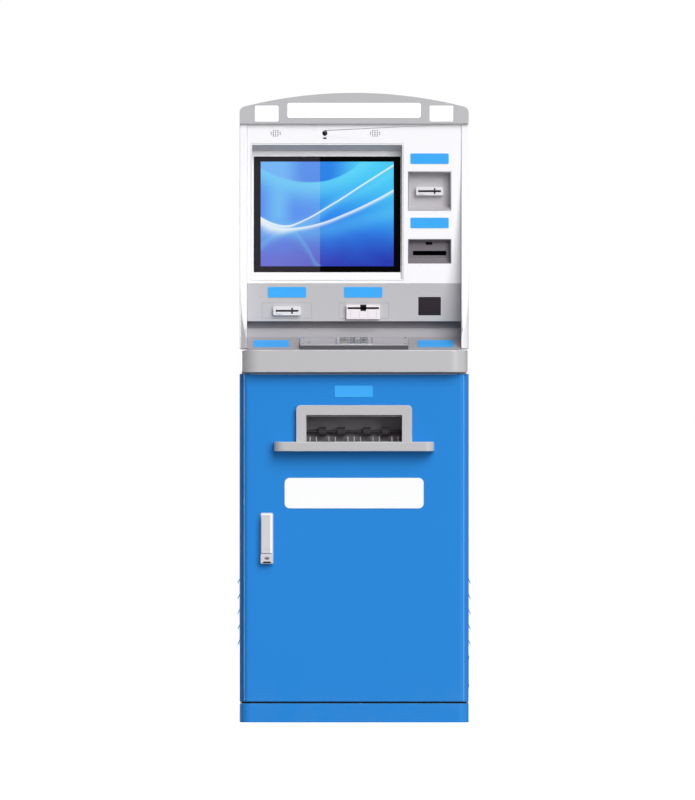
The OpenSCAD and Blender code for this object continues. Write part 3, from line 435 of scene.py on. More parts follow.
def path_curve(tree, along, points):
    """A smooth curve of heights over 0 to 1, given by its points."""
    made = node(tree, "ShaderNodeFloatCurve", {"Value": along})
    curve = made.mapping.curves[0]
    for place, (x, y) in zip(curve.points, (points[0], points[-1])):
        place.location = (x, y)
    for x, y in points[1:-1]:
        curve.points.new(x, y)
    for place in curve.points:
        place.handle_type = "AUTO"
    made.mapping.update()
    return made.outputs[0]


# Bands of light in the picture: path over 0 to 1, width above and below, strength
RIBBONS = (
    (((0.0, 0.42), (0.25, 0.37), (0.60, 0.63), (0.80, 0.74), (1.0, 0.90)), 0.05, 0.05, 0.30),
    (((0.0, 0.30), (0.14, 0.36), (0.40, 0.34), (0.70, 0.42), (1.0, 0.52)), 0.06, 0.09, 0.22),
    (((0.0, 0.20), (0.10, 0.29), (0.22, 0.34), (0.34, 0.20), (0.44, -0.05), (1.0, -0.3)),
     0.02, 0.05, 0.2),
    (((0.0, 0.45), (0.12, 0.37), (0.24, 0.362), (0.45, 0.41), (0.61, 0.485), (0.85, 0.625),
      (1.0, 0.73)), 0.005, 0.022, 0.85),
    (((0.0, 0.47), (0.12, 0.40), (0.21, 0.388), (0.27, 0.41), (0.545, 0.60), (0.765, 0.78),
      (1.0, 0.97)), 0.004, 0.012, 1.0),
)
ARC_PATH = ((0.0, 0.93), (0.15, 0.84), (0.35, 0.795), (0.55, 0.83), (0.77, 1.0), (1.0, 1.3))
ARC_GLOW = (0.010, 0.13, 0.5)  # width above and below, strength
SWOOSH_STRENGTH = 0.8  # a stronger band than this is white and flares towards the left
SWOOSH_WHITE = srgb(244, 252, 255)


def picture_finish(settings, reflection_edge):
    """The lit picture: a blue field under a bright arc, with rising bands of light."""
    material, tree, shader = blank_material("Picture light")
    spot = node(tree, "ShaderNodeUVMap", uv_map="picture").outputs[0]
    place = node(tree, "ShaderNodeSeparateXYZ", {0: spot}).outputs
    across, up = place["X"], place["Y"]
    swirl = node(tree, "ShaderNodeTexNoise", {
        "Vector": spot, "Scale": 2.3, "Detail": 1.0, "Distortion": 1.4}).outputs[0]
    deep = mixed(tree, remap(tree, across, 0.0, 0.8), srgb(78, 82, 205), tuple(settings.deep))
    stirred = calc(tree, "ADD", up, calc(tree, "MULTIPLY", swirl, 0.16))
    tone = mixed(tree, remap(tree, stirred, 0.05, 0.55), deep, tuple(settings.middle))
    glow = calc(tree, "ADD", calc(tree, "MULTIPLY", across, 0.45), up)
    tone = mixed(tree, remap(tree, glow, 0.62, 1.32), tone, tuple(settings.sky))
    arc = path_curve(tree, across, ARC_PATH)
    above_arc = remap(tree, calc(tree, "SUBTRACT", up, arc), 0.0, 0.012)
    cap = mixed(tree, remap(tree, across, 0.15, 0.34), srgb(96, 176, 250), srgb(38, 122, 232))
    cap = mixed(tree, remap(tree, across, 0.5, 0.8), cap, srgb(86, 214, 252))
    tone = mixed(tree, calc(tree, "MULTIPLY", above_arc, 0.9), tone, cap)
    flare = remap(tree, across, 0.30, 0.0, 1.0, 3.4)
    for points, above, below, strength in ((ARC_PATH, *ARC_GLOW), *RIBBONS):
        swoosh = strength > SWOOSH_STRENGTH
        mask = shared(tree, "Light streak", {
            "Across": up, "Path": path_curve(tree, across, points), "Width Above": above,
            "Width Below": calc(tree, "MULTIPLY", below, flare) if swoosh else below,
            "Strength": strength})["Mask"]
        tone = mixed(tree, mask, tone, SWOOSH_WHITE if swoosh else srgb(112, 226, 255))
    beside = calc(tree, "ABSOLUTE", calc(tree, "SUBTRACT", across, 0.13))
    column = remap(tree, beside, 0.0, 0.14, 0.4, 0.0)
    span = calc(tree, "MULTIPLY", remap(tree, up, 0.34, 0.5), remap(tree, up, 0.9, 0.6))
    tone = mixed(tree, calc(tree, "MULTIPLY", column, span), tone, srgb(120, 230, 255))
    # painted reflection: a pale glare over the picture left of the reflection edge
    painted_reflection = remap(tree, across, reflection_edge + 0.002, reflection_edge - 0.002, 0.0, 0.11)
    tone = mixed(tree, painted_reflection, tone, srgb(235, 240, 250))
    tree.links.new(tone, shader.inputs["Emission Color"])
    shader.inputs["Emission Strength"].default_value = settings.brightness
    tree.links.new(mixed(tree, swirl, srgb(4, 5, 9), srgb(9, 10, 15)), shader.inputs["Base Color"])
    tree.links.new(remap(tree, noise(tree, 30.0, 3.0), 0.4, 0.8, 0.22, 0.34),
                   shader.inputs["Roughness"])
    shader.inputs["Specular IOR Level"].default_value = 0.1
    return material


def finish_library():
    """Every slot's material, made once."""
    scene = bpy.context.scene
    cabinet, console, keypad = scene.terminal_cabinet, scene.terminal_console, scene.terminal_keypad
    white, belt = tuple(console.console_white), tuple(cabinet.belt_grey)
    return {
        "blue_paint": lambda: coated("Door powder coat", tuple(cabinet.door_blue), 0.46, 0.12, 0.1,
                                     worn=srgb(80, 168, 238), wear=0.3, dust=0.06, shine=0.2),
        "side_blue_paint": lambda: coated("Side powder coat", tuple(cabinet.side_blue), 0.46, 0.15, 0.1,
                                          worn=srgb(74, 158, 230), wear=0.3, dust=0.1, shine=0.2),
        "frame_steel": lambda: coated("Zinc plated frame", srgb(158, 162, 168), 0.42, 0.5, 0.3, 220.0,
                                      0.1, metallic=0.8),
        "foot_steel": lambda: coated("Feet zinc", srgb(92, 94, 97), 0.5, 0.5, 0.3, 220.0, metallic=0.7),
        "grey_paint": lambda: coated("Belt paint", belt, 0.34, 0.12, 0.1, worn=srgb(232, 232, 234),
                                     wear=0.5, coat=1.0, shine=0.5, coat_roughness=0.05),
        "desk_grey": lambda: coated("Desk paint", srgb(162, 160, 164), 0.36, 0.2, 0.14,
                                    worn=srgb(215, 215, 218), coat=0.1),
        "white_paint": lambda: coated("Console paint", white, 0.38, 0.12, 0.1, wear=0.2, coat=0.1),
        "surround_white": lambda: coated("Surround moulding", srgb(250, 250, 252), 0.4, 0.1, 0.1,
                                         650.0, wear=0.2),
        # painted reflection: the cover glass is paler left of a line
        "glass_black": lambda: dark_glass("Cover glass", srgb(3, 3, 3),
                                          painted_reflection=(PAINTED_REFLECTION_LINE, srgb(46, 43, 47))),
        "module_black": lambda: coated("Black moulding", srgb(30, 30, 32), 0.5, 0.4, 0.2, 1200.0,
                                       0.2, worn=srgb(78, 78, 82)),
        "module_grey": lambda: coated("Grey moulding", srgb(104, 102, 107), 0.48, 0.3, 0.2, 1200.0,
                                      0.2, worn=srgb(140, 140, 144)),
        "printer_white": lambda: coated("Printer moulding", srgb(206, 206, 202), 0.5, 0.3, 0.2, 1000.0),
        "light_panel": light_panel_finish,
        "label_blue": lambda: coated("Label film", tuple(console.label_blue), 0.3, 0.12, 0.1, 500.0,
                                     0.05, wear=0.2, coat=0.3),
        "sign_white": lambda: coated("Sign film", srgb(254, 254, 254), 0.3, 0.06, 0.1, 500.0, 0.05,
                                     wear=0.1, coat=0.3),
        "chrome": lambda: coated("Bright chrome", srgb(250, 249, 252), 0.16, 0.3, 0.1, 300.0, 0.03,
                                 worn=srgb(255, 255, 255), coat=0.6, metallic=0.22, shine=0.7),
        "receipt_white": lambda: coated("Receipt moulding", srgb(240, 234, 238), 0.32, 0.15, 0.1,
                                        800.0, coat=0.2),
        "outlet_grey": lambda: coated("Outlet paint", srgb(192, 190, 192), 0.4, 0.2, 0.12,
                                      worn=srgb(236, 236, 238), wear=0.7, coat=0.1),
        "key_metal": lambda: brushed("Satin key steel", srgb(196, 198, 202), 0.32, 0.2, 0.08),
        "roller_rubber": lambda: coated("Roller rubber", srgb(62, 60, 62), 0.75, 0.5, 0.2, 700.0, 0.4,
                                        worn=srgb(78, 76, 78)),
        "lock_steel": lambda: brushed("Lock steel", srgb(176, 178, 182), 0.36, 0.25, 0.1),
        # finishes of single faces and of the added pieces
        # painted shade: the soffit over the screen and the surround's inner walls
        "soffit_painted_shade": lambda: coated("Soffit painted shade", srgb(216, 208, 206), 0.5, 0.2, 0.1),
        "wall_painted_shade": lambda: coated("Surround wall painted shade", srgb(205, 202, 207), 0.5, 0.2, 0.1),
        # painted shade: the groove under the lower fascia
        "groove_painted_shade": lambda: coated("Groove painted shade", srgb(126, 122, 127), 0.55, 0.3, 0.15, 600.0),
        # painted shade: black for slots, notches and gaps that lie in shade
        "painted_shade_black": lambda: coated("Painted shade black", srgb(14, 13, 15), 0.6, 0.3, 0.15, 900.0, shine=0.15),
        # painted highlight: a lighter blue on the door's rounded rims
        "rim_painted_highlight": lambda: coated("Door rim painted highlight", srgb(92, 172, 246), 0.4, 0.12, 0.1, wear=0.2, shine=0.3),
        # painted highlight: white for the handle's bevels that face the light
        "bevel_painted_highlight": lambda: coated("Handle bevel painted highlight", srgb(252, 252, 252), 0.3, 0.15, 0.1, 500.0,
                                      coat=0.3),
        "keypad_grey": lambda: coated("Keypad plate", srgb(205, 203, 207), 0.3, 0.4, 0.2, 260.0, 0.06,
                                      worn=srgb(225, 225, 228), metallic=0.35, shine=0.6),
        "keypad_edge": lambda: coated("Keypad body", srgb(86, 84, 88), 0.45, 0.3, 0.15, 900.0,
                                      worn=srgb(140, 138, 142)),
        # painted shade on the side of a reader's bulge; also the dark chrome of the handle's lock cover
        "dark_chrome_and_painted_shade": lambda: coated("Dark chrome and painted shade", srgb(120, 117, 124), 0.3, 0.3, 0.1, 300.0,
                                     metallic=0.3),
        "handle_grey": lambda: coated("Handle die casting", srgb(212, 210, 213), 0.34, 0.25, 0.15, 500.0,
                                      worn=srgb(250, 250, 250), wear=0.8, coat=0.2),
        "dish_grey": lambda: coated("Dish moulding", srgb(120, 115, 121), 0.5, 0.3, 0.2, 1200.0, 0.15,
                                    worn=srgb(150, 148, 152)),
        # painted shade: the cheeks darken towards the desk
        "cheek": lambda: coated("Cheek coat with painted shade", white, 0.38, 0.1, 0.1, wear=0.15, coat=0.1,
                                foot=(0.99, 1.27, tuple(console.cheek_foot))),
        "hinge_black": lambda: coated("Seal rubber", srgb(22, 22, 23), 0.8, 0.4, 0.2, 600.0, 0.3),
        "recess_grey": lambda: coated("Recess paint", srgb(188, 185, 190), 0.42, 0.25, 0.12,
                                      worn=srgb(214, 214, 216)),
        "dot_dark": lambda: coated("Grille dark", srgb(88, 86, 90), 0.6, 0.3, 0.2, 900.0, shine=0.1),
        "joint_line": lambda: coated("Joint shadow", srgb(150, 149, 153), 0.5, 0.4, 0.2, 900.0),
        "chute_dark": lambda: coated("Chute plastic", srgb(128, 124, 128), 0.42, 0.4, 0.25, 300.0, 0.2,
                                     worn=srgb(120, 118, 120)),
        "digit_dark": lambda: coated("Key legend", srgb(30, 31, 34), 0.4, 0.3, 0.1, 900.0),
        "clear_bar": lambda: coated("Clear legend", tuple(keypad.clear_colour), 0.35, 0.2, 0.1),
        "enter_bar": lambda: coated("Enter legend", tuple(keypad.enter_colour), 0.35, 0.2, 0.1),
        "screw_zinc": lambda: brushed("Screw zinc", srgb(186, 188, 192), 0.3, 0.2, 0.05),
        "lens_glass": lambda: dark_glass("Lens glass", srgb(12, 12, 18), 0.04, coat=0.6),
        "scan_glass": lambda: dark_glass("Scanner glass", srgb(54, 49, 55), 0.16),
        "status_green": lambda: coated("Status lens", srgb(70, 190, 110), 0.25, 0.3, 0.1, 900.0,
                                       coat=0.4),
    }


_made = {}


def finish(name):
    """The material for a slot or for an added piece, made at its first use."""
    if name not in _made:
        _made[name] = finish_library()[name]()
    return _made[name]


# ---------- Mesh helpers ----------
def link(name, mesh):
    made = bpy.data.objects.new(name, mesh)
    bpy.context.scene.collection.objects.link(made)
    return made


def baked_mesh(holder, name):
    """The evaluated mesh of an object whose modifiers have done their work."""
    bpy.context.view_layer.update()
    graph = bpy.context.evaluated_depsgraph_get()
    mesh = bpy.data.meshes.new_from_object(holder.evaluated_get(graph), depsgraph=graph)
    mesh.name = name
    bpy.data.objects.remove(holder)
    return mesh


def seams_of_flat_faces(bm):
    """Edges between the triangles of each flat face, unless the face runs round an opening."""
    seams, seen = [], set()
    for first in bm.faces:
        if first in seen:
            continue
        seen.add(first)
        region, waiting = [], [first]
        while waiting:
            face = waiting.pop()
            region.append(face)
            for other in {near for edge in face.edges for near in edge.link_faces} - seen:
                if other.normal.dot(first.normal) > SAME_PLANE:
                    seen.add(other)
                    waiting.append(other)
        edges = {edge for face in region for edge in face.edges}
        corners = {corner for face in region for corner in face.verts}
        if len(corners) - len(edges) + len(region) == 1:
            inside = set(region)
            seams += [edge for edge in edges if inside.issuperset(edge.link_faces)]
    return seams


def plain_copy(node_name):
    """A CAD node's mesh with its corners merged and its unpierced flat faces whole."""
    bm = bmesh.new()
    bm.from_mesh(NODES[node_name].data)
    bmesh.ops.remove_doubles(bm, verts=bm.verts, dist=0.00002)
    bmesh.ops.dissolve_limit(bm, angle_limit=FLAT_TURN, verts=bm.verts,
                             edges=seams_of_flat_faces(bm), delimit={"NORMAL"})
    for face in bm.faces:
        face.smooth = True
        face.material_index = 0
    mesh = bpy.data.meshes.new(node_name)
    bm.to_mesh(mesh)
    bm.free()
    for layer in [a.name for a in mesh.attributes if a.name in ("custom_normal", "UVMap")]:
        mesh.attributes.remove(mesh.attributes[layer])
    return mesh


def rounded_edges(mesh, name, width, segments):
    """Rounds a mesh's sharp edges and marks the rounded faces in edge_band."""
    holder = link(name, mesh)
    mesh.materials.clear()
    for _ in range(2):
        mesh.materials.append(finish("frame_steel"))
    bevel = holder.modifiers.new("Edges", "BEVEL")
    bevel.width = width
    bevel.segments = segments
    bevel.limit_method = "ANGLE"
    bevel.angle_limit = SMOOTH_LIMIT
    bevel.harden_normals = True
    bevel.material = 1
    made = baked_mesh(holder, name)
    band = made.attributes.new("edge_band", "FLOAT", "FACE")
    band.data.foreach_set("value", [float(face.material_index == 1) for face in made.polygons])
    made.polygons.foreach_set("material_index", [0] * len(made.polygons))
    made.materials.clear()
    return made


def softened(node_name, width, segments=2, material=None):
    """A CAD node with rounded edges in its finish, standing for the node on its own body."""
    mesh = rounded_edges(plain_copy(node_name), node_name + "_finished", width, segments)
    mesh.materials.append(finish(material or SLOTS[node_name]))
    piece = link(node_name + "_finished", mesh)
    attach(piece, NODES[node_name]["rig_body"])
    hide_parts(node_name)
    return piece


def dressed_faces(piece, material, rule):
    """Gives a second finish to the faces whose middle and outward direction meet the rule."""
    mesh = piece.data
    mesh.materials.append(finish(material))
    index = len(mesh.materials) - 1
    for face in mesh.polygons:
        if rule(face.center, face.normal):
            face.material_index = index


def added(name, mesh, material, body):
    """A piece that the CAD model doesn't have, with its place in its mesh."""
    mesh.materials.clear()
    mesh.materials.append(finish(material))
    piece = link(name, mesh)
    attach(piece, body)
    return piece


def face_frame(node_name, outward):
    """Axes on a node's outermost face towards outward: X across, Y up the face, Z out of it."""
    outward = Vector(outward).normalized()
    faces = [f for f in NODES[node_name].data.polygons if f.normal.dot(outward) > 0.9]
    reach = max(f.center.dot(outward) for f in faces)
    top = [f for f in faces if f.center.dot(outward) > reach - 0.02 and f.area > 1e-9]
    biggest = max(top, key=lambda f: f.area)
    level = biggest.center.dot(biggest.normal)
    flat = [f for f in top if f.normal.dot(biggest.normal) > 0.9999
            and abs(f.center.dot(biggest.normal) - level) < 0.0002]
    corners = [NODES[node_name].data.vertices[i].co for f in flat for i in f.vertices]
    out = biggest.normal.copy()
    side = Vector((1, 0, 0))
    up = out.cross(side).normalized()
    middle = [(min(c.dot(axis) for c in corners) + max(c.dot(axis) for c in corners)) / 2
              for axis in (side, up)]
    origin = side * middle[0] + up * middle[1] + out * level
    axes = Matrix((side, up, out)).transposed().to_4x4()
    return Matrix.Translation(origin) @ axes


def on_plane(outward, level, side, up):
    """Axes on a plane at y = level that faces along -Y or +Y, with its origin at side and up."""
    out = Vector(outward)
    across = Vector((-out.y, 0, 0))
    axes = Matrix((across, Vector((0, 0, 1)), out)).transposed().to_4x4()
    return Matrix.Translation((side, level, up)) @ axes


def rounded_ring(width, height, radius, steps=6):
    """Corner points of a rectangle with rounded corners, anticlockwise."""
    points = []
    for quarter, (sx, sy) in enumerate(((1, 1), (-1, 1), (-1, -1), (1, -1))):
        for step in range(steps + 1):
            angle = (quarter + step / steps) * math.pi / 2
            points.append((sx * (width / 2 - radius) + radius * math.cos(angle),
                           sy * (height / 2 - radius) + radius * math.sin(angle)))
    return points


def layered(rings, hollow=False):
    """A solid through rings of 3D points, capped at both ends; a hollow one joins last to first."""
    bm = bmesh.new()
    rows = [[bm.verts.new(point) for point in ring] for ring in rings]
    for low, high in zip(rows, rows[1:] + rows[:1] if hollow else rows[1:]):
        for i in range(len(low)):
            j = (i + 1) % len(low)
            bm.faces.new((low[i], low[j], high[j], high[i]))
    if not hollow:
        bm.faces.new(list(reversed(rows[0])))
        bm.faces.new(rows[-1])
    bmesh.ops.recalc_face_normals(bm, faces=bm.faces)
    mesh = bpy.data.meshes.new("layered")
    bm.to_mesh(mesh)
    bm.free()
    return mesh


def plate_mesh(width, height, radius, thick, edge):
    """A thin plate with rounded corners and a rounded front edge, lying on its frame."""
    levels = ((0, 0), (0, thick - edge), (edge * 0.3, thick - edge * 0.3), (edge, thick))
    return layered([[(x, y, z) for x, y in rounded_ring(
        width - 2 * inset, height - 2 * inset, max(radius - inset, 0.00005))]
        for inset, z in levels])


def outline_mesh(width, height, radius, line, proud):
    """A raised line round a rectangle with rounded corners."""
    levels = ((0, 0), (line * 0.2, proud), (line * 0.8, proud), (line, 0))
    return layered([[(x, y, z) for x, y in rounded_ring(
        width - 2 * inset, height - 2 * inset, max(radius - inset, 0.0001))]
        for inset, z in levels], hollow=True)


def turned_mesh(profile, steps=24, hexagon=()):
    """A lathe shape about Z from (radius, height) pairs; the rings in hexagon have six flats."""
    def ring(index, radius, height):
        points = []
        for step in range(steps):
            angle = 2 * math.pi * step / steps
            flat = math.cos(math.pi / 6) / math.cos(angle % (math.pi / 3) - math.pi / 6)
            reach = radius * (flat if index in hexagon else 1.0)
            points.append((reach * math.cos(angle), reach * math.sin(angle), height))
        return points
    return layered([ring(index, *pair) for index, pair in enumerate(profile)])


def placed(mesh, matrix):
    mesh.transform(matrix)
    mesh.update()
    return mesh


def merged(meshes, name):
    """Several meshes as one."""
    bm = bmesh.new()
    for mesh in meshes:
        bm.from_mesh(mesh)
    made = bpy.data.meshes.new(name)
    bm.to_mesh(made)
    bm.free()
    return made


def text_mesh(text, height, proud):
    """Raised characters, centred on their frame."""
    curve = bpy.data.curves.new("legend", "FONT")
    curve.body = text
    curve.size = height * 1.38
    curve.align_x, curve.align_y = "CENTER", "CENTER"
    curve.extrude = proud / 2
    curve.resolution_u = 4
    mesh = baked_mesh(link("legend", curve), "legend")
    mesh.transform(Matrix.Translation((0, 0, proud / 2)))
    return mesh


# ---------- Geometry node trees ----------
def geometry_tree(name, sockets):
    tree = bpy.data.node_groups.new(name, "GeometryNodeTree")
    for label, kind in sockets:
        tree.interface.new_socket(label, in_out="INPUT", socket_type=kind)
    tree.interface.new_socket("Geometry", in_out="OUTPUT", socket_type="NodeSocketGeometry")
    return tree, node(tree, "NodeGroupInput").outputs, node(tree, "NodeGroupOutput").inputs[0]


def finished_output(tree, instances, material, out):
    """Ends a tree: instances made real, then their material."""
    real = node(tree, "GeometryNodeRealizeInstances", {0: instances}).outputs[0]
    dressed = node(tree, "GeometryNodeSetMaterial", {"Geometry": real, "Material": material})
    tree.links.new(dressed.outputs[0], out)


def grid_points(tree, given):
    """A flat grid of points from the columns, rows and pitches of a tree's inputs."""
    spans = [calc(tree, "MULTIPLY", calc(tree, "SUBTRACT", given[count], 1.0), given[pitch])
             for count, pitch in (("Columns", "Column Pitch"), ("Rows", "Row Pitch"))]
    return node(tree, "GeometryNodeMeshGrid", {
        "Size X": spans[0], "Size Y": spans[1],
        "Vertices X": given["Columns"], "Vertices Y": given["Rows"]}).outputs["Mesh"]


def fitting_rows_tree():
    """Copies of one fitting in rows and columns, each turned a little at random."""
    tree, given, out = geometry_tree("Rows of fittings", [
        ("Fitting", "NodeSocketObject"), ("Columns", "NodeSocketInt"), ("Rows", "NodeSocketInt"),
        ("Column Pitch", FLOAT), ("Row Pitch", FLOAT), ("Turn", FLOAT), ("Seed", "NodeSocketInt"),
        ("Finish", "NodeSocketMaterial")])
    turn = node(tree, "FunctionNodeRandomValue", {"Seed": given["Seed"]}, data_type="FLOAT")
    put(tree, turn.inputs[2], 0.0)
    put(tree, turn.inputs[3], given["Turn"])
    spin = node(tree, "ShaderNodeCombineXYZ", {"Z": turn.outputs[1]}).outputs[0]
    shape = node(tree, "GeometryNodeObjectInfo", {"Object": given["Fitting"]})
    copies = node(tree, "GeometryNodeInstanceOnPoints", {
        "Points": grid_points(tree, given), "Instance": shape.outputs["Geometry"],
        "Rotation": spin}).outputs[0]
    finished_output(tree, copies, given["Finish"], out)
    return tree


def perforation_tree():
    """A patch of small holes' dark cups with the patch's corners left out."""
    tree, given, out = geometry_tree("Perforated patch", [
        ("Columns", "NodeSocketInt"), ("Rows", "NodeSocketInt"), ("Column Pitch", FLOAT),
        ("Row Pitch", FLOAT), ("Corner Cut", FLOAT), ("Hole Radius", FLOAT), ("Proud", FLOAT),
        ("Finish", "NodeSocketMaterial")])
    place = node(tree, "ShaderNodeSeparateXYZ", {
        0: node(tree, "GeometryNodeInputPosition").outputs[0]}).outputs
    reach = calc(tree, "ADD",
                 calc(tree, "DIVIDE", calc(tree, "ABSOLUTE", place["X"]), given["Column Pitch"]),
                 calc(tree, "DIVIDE", calc(tree, "ABSOLUTE", place["Y"]), given["Row Pitch"]))
    corner = node(tree, "FunctionNodeCompare", {0: reach, 1: given["Corner Cut"]},
                  data_type="FLOAT", operation="GREATER_THAN").outputs[0]
    kept = node(tree, "GeometryNodeDeleteGeometry", {
        "Geometry": grid_points(tree, given), "Selection": corner}).outputs[0]
    cup = node(tree, "GeometryNodeMeshCone", {
        "Vertices": 12, "Radius Top": calc(tree, "MULTIPLY", given["Hole Radius"], 0.7),
        "Radius Bottom": given["Hole Radius"], "Depth": given["Proud"]}).outputs["Mesh"]
    copies = node(tree, "GeometryNodeInstanceOnPoints", {"Points": kept, "Instance": cup}).outputs[0]
    finished_output(tree, copies, given["Finish"], out)
    return tree


TREE_MAKERS = {"Rows of fittings": fitting_rows_tree, "Perforated patch": perforation_tree}


def grown(tree_name, name, values):
    """Runs a geometry tree with named values and gives back its plain mesh."""
    tree = bpy.data.node_groups.get(tree_name) or TREE_MAKERS[tree_name]()
    holder = link(name, bpy.data.meshes.new(name))
    modifier = holder.modifiers.new("Tree", "NODES")
    modifier.node_group = tree
    for item in tree.interface.items_tree:
        if item.in_out == "INPUT" and item.name in values:
            modifier[item.identifier] = values[item.name]
    return baked_mesh(holder, name)


def fitting_rows(name, template, matrix, columns, rows, column_pitch, row_pitch, material, body,
                 turn=0.0):
    """Rows of one fitting on a frame, as one piece."""
    pattern = link(name + "_pattern", template)
    mesh = grown("Rows of fittings", name, {
        "Fitting": pattern, "Columns": columns, "Rows": rows, "Column Pitch": column_pitch,
        "Row Pitch": row_pitch, "Turn": turn, "Seed": SCREW_SEED, "Finish": finish(material)})
    bpy.data.objects.remove(pattern)
    return added(name, placed(mesh, matrix), material, body)


def screw_mesh():
    """A button-head screw with a hexagon socket."""
    fixings = bpy.context.scene.terminal_fixings
    r, h = fixings.screw_radius, fixings.screw_height
    return turned_mesh(((r * 1.25, 0), (r * 1.25, h * 0.18), (r, h * 0.18), (r * 0.97, h * 0.6),
                        (r * 0.72, h * 0.93), (r * 0.5, h), (r * 0.46, h * 0.4), (0.00002, h * 0.4)),
                       hexagon=(5, 6))


# ---------- Operators ----------
class TERMINAL_OT_cabinet(bpy.types.Operator):
    """Plinth, base, feet, corner frame, side panels and deck"""
    bl_idname = "terminal.cabinet"
    bl_label = "Cabinet"

    def execute(self, context):
        sheet = context.scene.terminal_cabinet.panel_edge
        for name, width, segments in (
                ("plinth_skirt", 0.0013, 2), ("base_plate", sheet, 1), ("levelling_feet", 0.0008, 2),
                ("corner_frame", 0.0012, 2), ("left_side_panel", sheet, 1),
                ("right_side_panel", sheet, 1), ("inlet_cover", 0.0007, 2), ("deck_plate", sheet, 1),
                ("waist_belt", 0.0022, 3)):
            piece = softened(name, width, segments)
            if name == "base_plate":
                # painted shade: the plate's front edge, seen in the gap under the door, is black
                dressed_faces(piece, "painted_shade_black", lambda place, out: out.y < -0.5)
        return {"FINISHED"}


class TERMINAL_OT_front_door(bpy.types.Operator):
    """Front door with its plates, outlet, shelf, rollers, seal and stiffeners"""
    bl_idname = "terminal.front_door"
    bl_label = "Front door"

    def execute(self, context):
        settings = context.scene.terminal_cabinet
        door = softened("front_door", settings.door_edge, 3)
        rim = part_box("front_door")[1].x - 0.0032
        # painted highlight: the front faces of the door's rounded rims are lighter blue
        dressed_faces(door, "rim_painted_highlight", lambda place, out: abs(place.x) > rim and out.y < -0.2)
        plates = softened("door_plates", 0.0004, 2, "sign_white")
        label_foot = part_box("outlet_bezel")[0].z
        dressed_faces(plates, "label_blue", lambda place, out: place.z > label_foot)
        softened("outlet_bezel", 0.0010, 2)
        softened("outlet_shelf", 0.0020, 3)
        softened("eject_rollers", 0.0008, 2)
        low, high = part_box("front_door")
        inset, radius = 0.009, settings.seal_radius
        width, height = high.x - low.x - 2 * inset, high.z - low.z - 2 * inset
        seal = outline_mesh(width, height, 0.008, 2 * radius, radius * 1.6)
        middle = (low + high) / 2
        added("door_seal", placed(seal, on_plane((0, 1, 0), high.y, middle.x, middle.z)),
              "hinge_black", "front_door")
        self.stiffeners(low, high)
        self.chute_lining()
        return {"FINISHED"}

    @staticmethod
    def stiffeners(low, high):
        """Two folded channels inside the door, under the outlet."""
        wall, depth, flange, top = 0.0014, 0.010, 0.034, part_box("outlet_shelf")[0].z - 0.012
        outline = ((-flange, 0), (-0.02, 0), (-0.014, depth), (0.014, depth), (0.02, 0), (flange, 0),
                   (flange, wall), (0.021, wall), (0.015, depth + wall), (-0.015, depth + wall),
                   (-0.021, wall), (-flange, wall))
        skin = low.y + 0.0022
        bars = []
        for x in (-0.09, 0.09):
            rings = [[(x + a, skin + b, z) for a, b in outline] for z in (low.z + 0.03, top)]
            bars.append(layered(rings))
        mesh = rounded_edges(merged(bars, "door_stiffeners"), "door_stiffeners", 0.0005, 1)
        added("door_stiffeners", mesh, "frame_steel", "front_door")

    @staticmethod
    def chute_lining():
        """A dark liner of the paper chute, with a guide bar along its mouth."""
        low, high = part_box("outlet_bezel")
        opening_width, opening_height, clearance, wall, bar_height = 0.245, 0.068, 0.0002, 0.0009, 0.0022
        middle_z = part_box("outlet_shelf")[1].z + opening_height / 2
        width, height = opening_width - 2 * clearance, opening_height - 2 * clearance
        y_front, y_back = low.y + 0.0135, high.y - 0.0034
        rings = []
        for inset, y in ((0.0, y_back), (0.0, y_front), (wall, y_front), (wall, y_back - wall)):
            rings.append([(x, y, z + middle_z) for x, z in rounded_ring(
                width - 2 * inset, height - 2 * inset, 0.002)])
        added("chute_liner", layered(rings), "chute_dark", "front_door")
        bar = plate_mesh(width - 0.004, bar_height, 0.001, 0.0016, 0.0005)
        bar_z = middle_z + height / 2 - bar_height / 2 - 0.0015
        added("chute_guide_bar", placed(bar, on_plane((0, -1, 0), low.y + 0.0152, 0.0, bar_z)),
              "screw_zinc", "front_door")


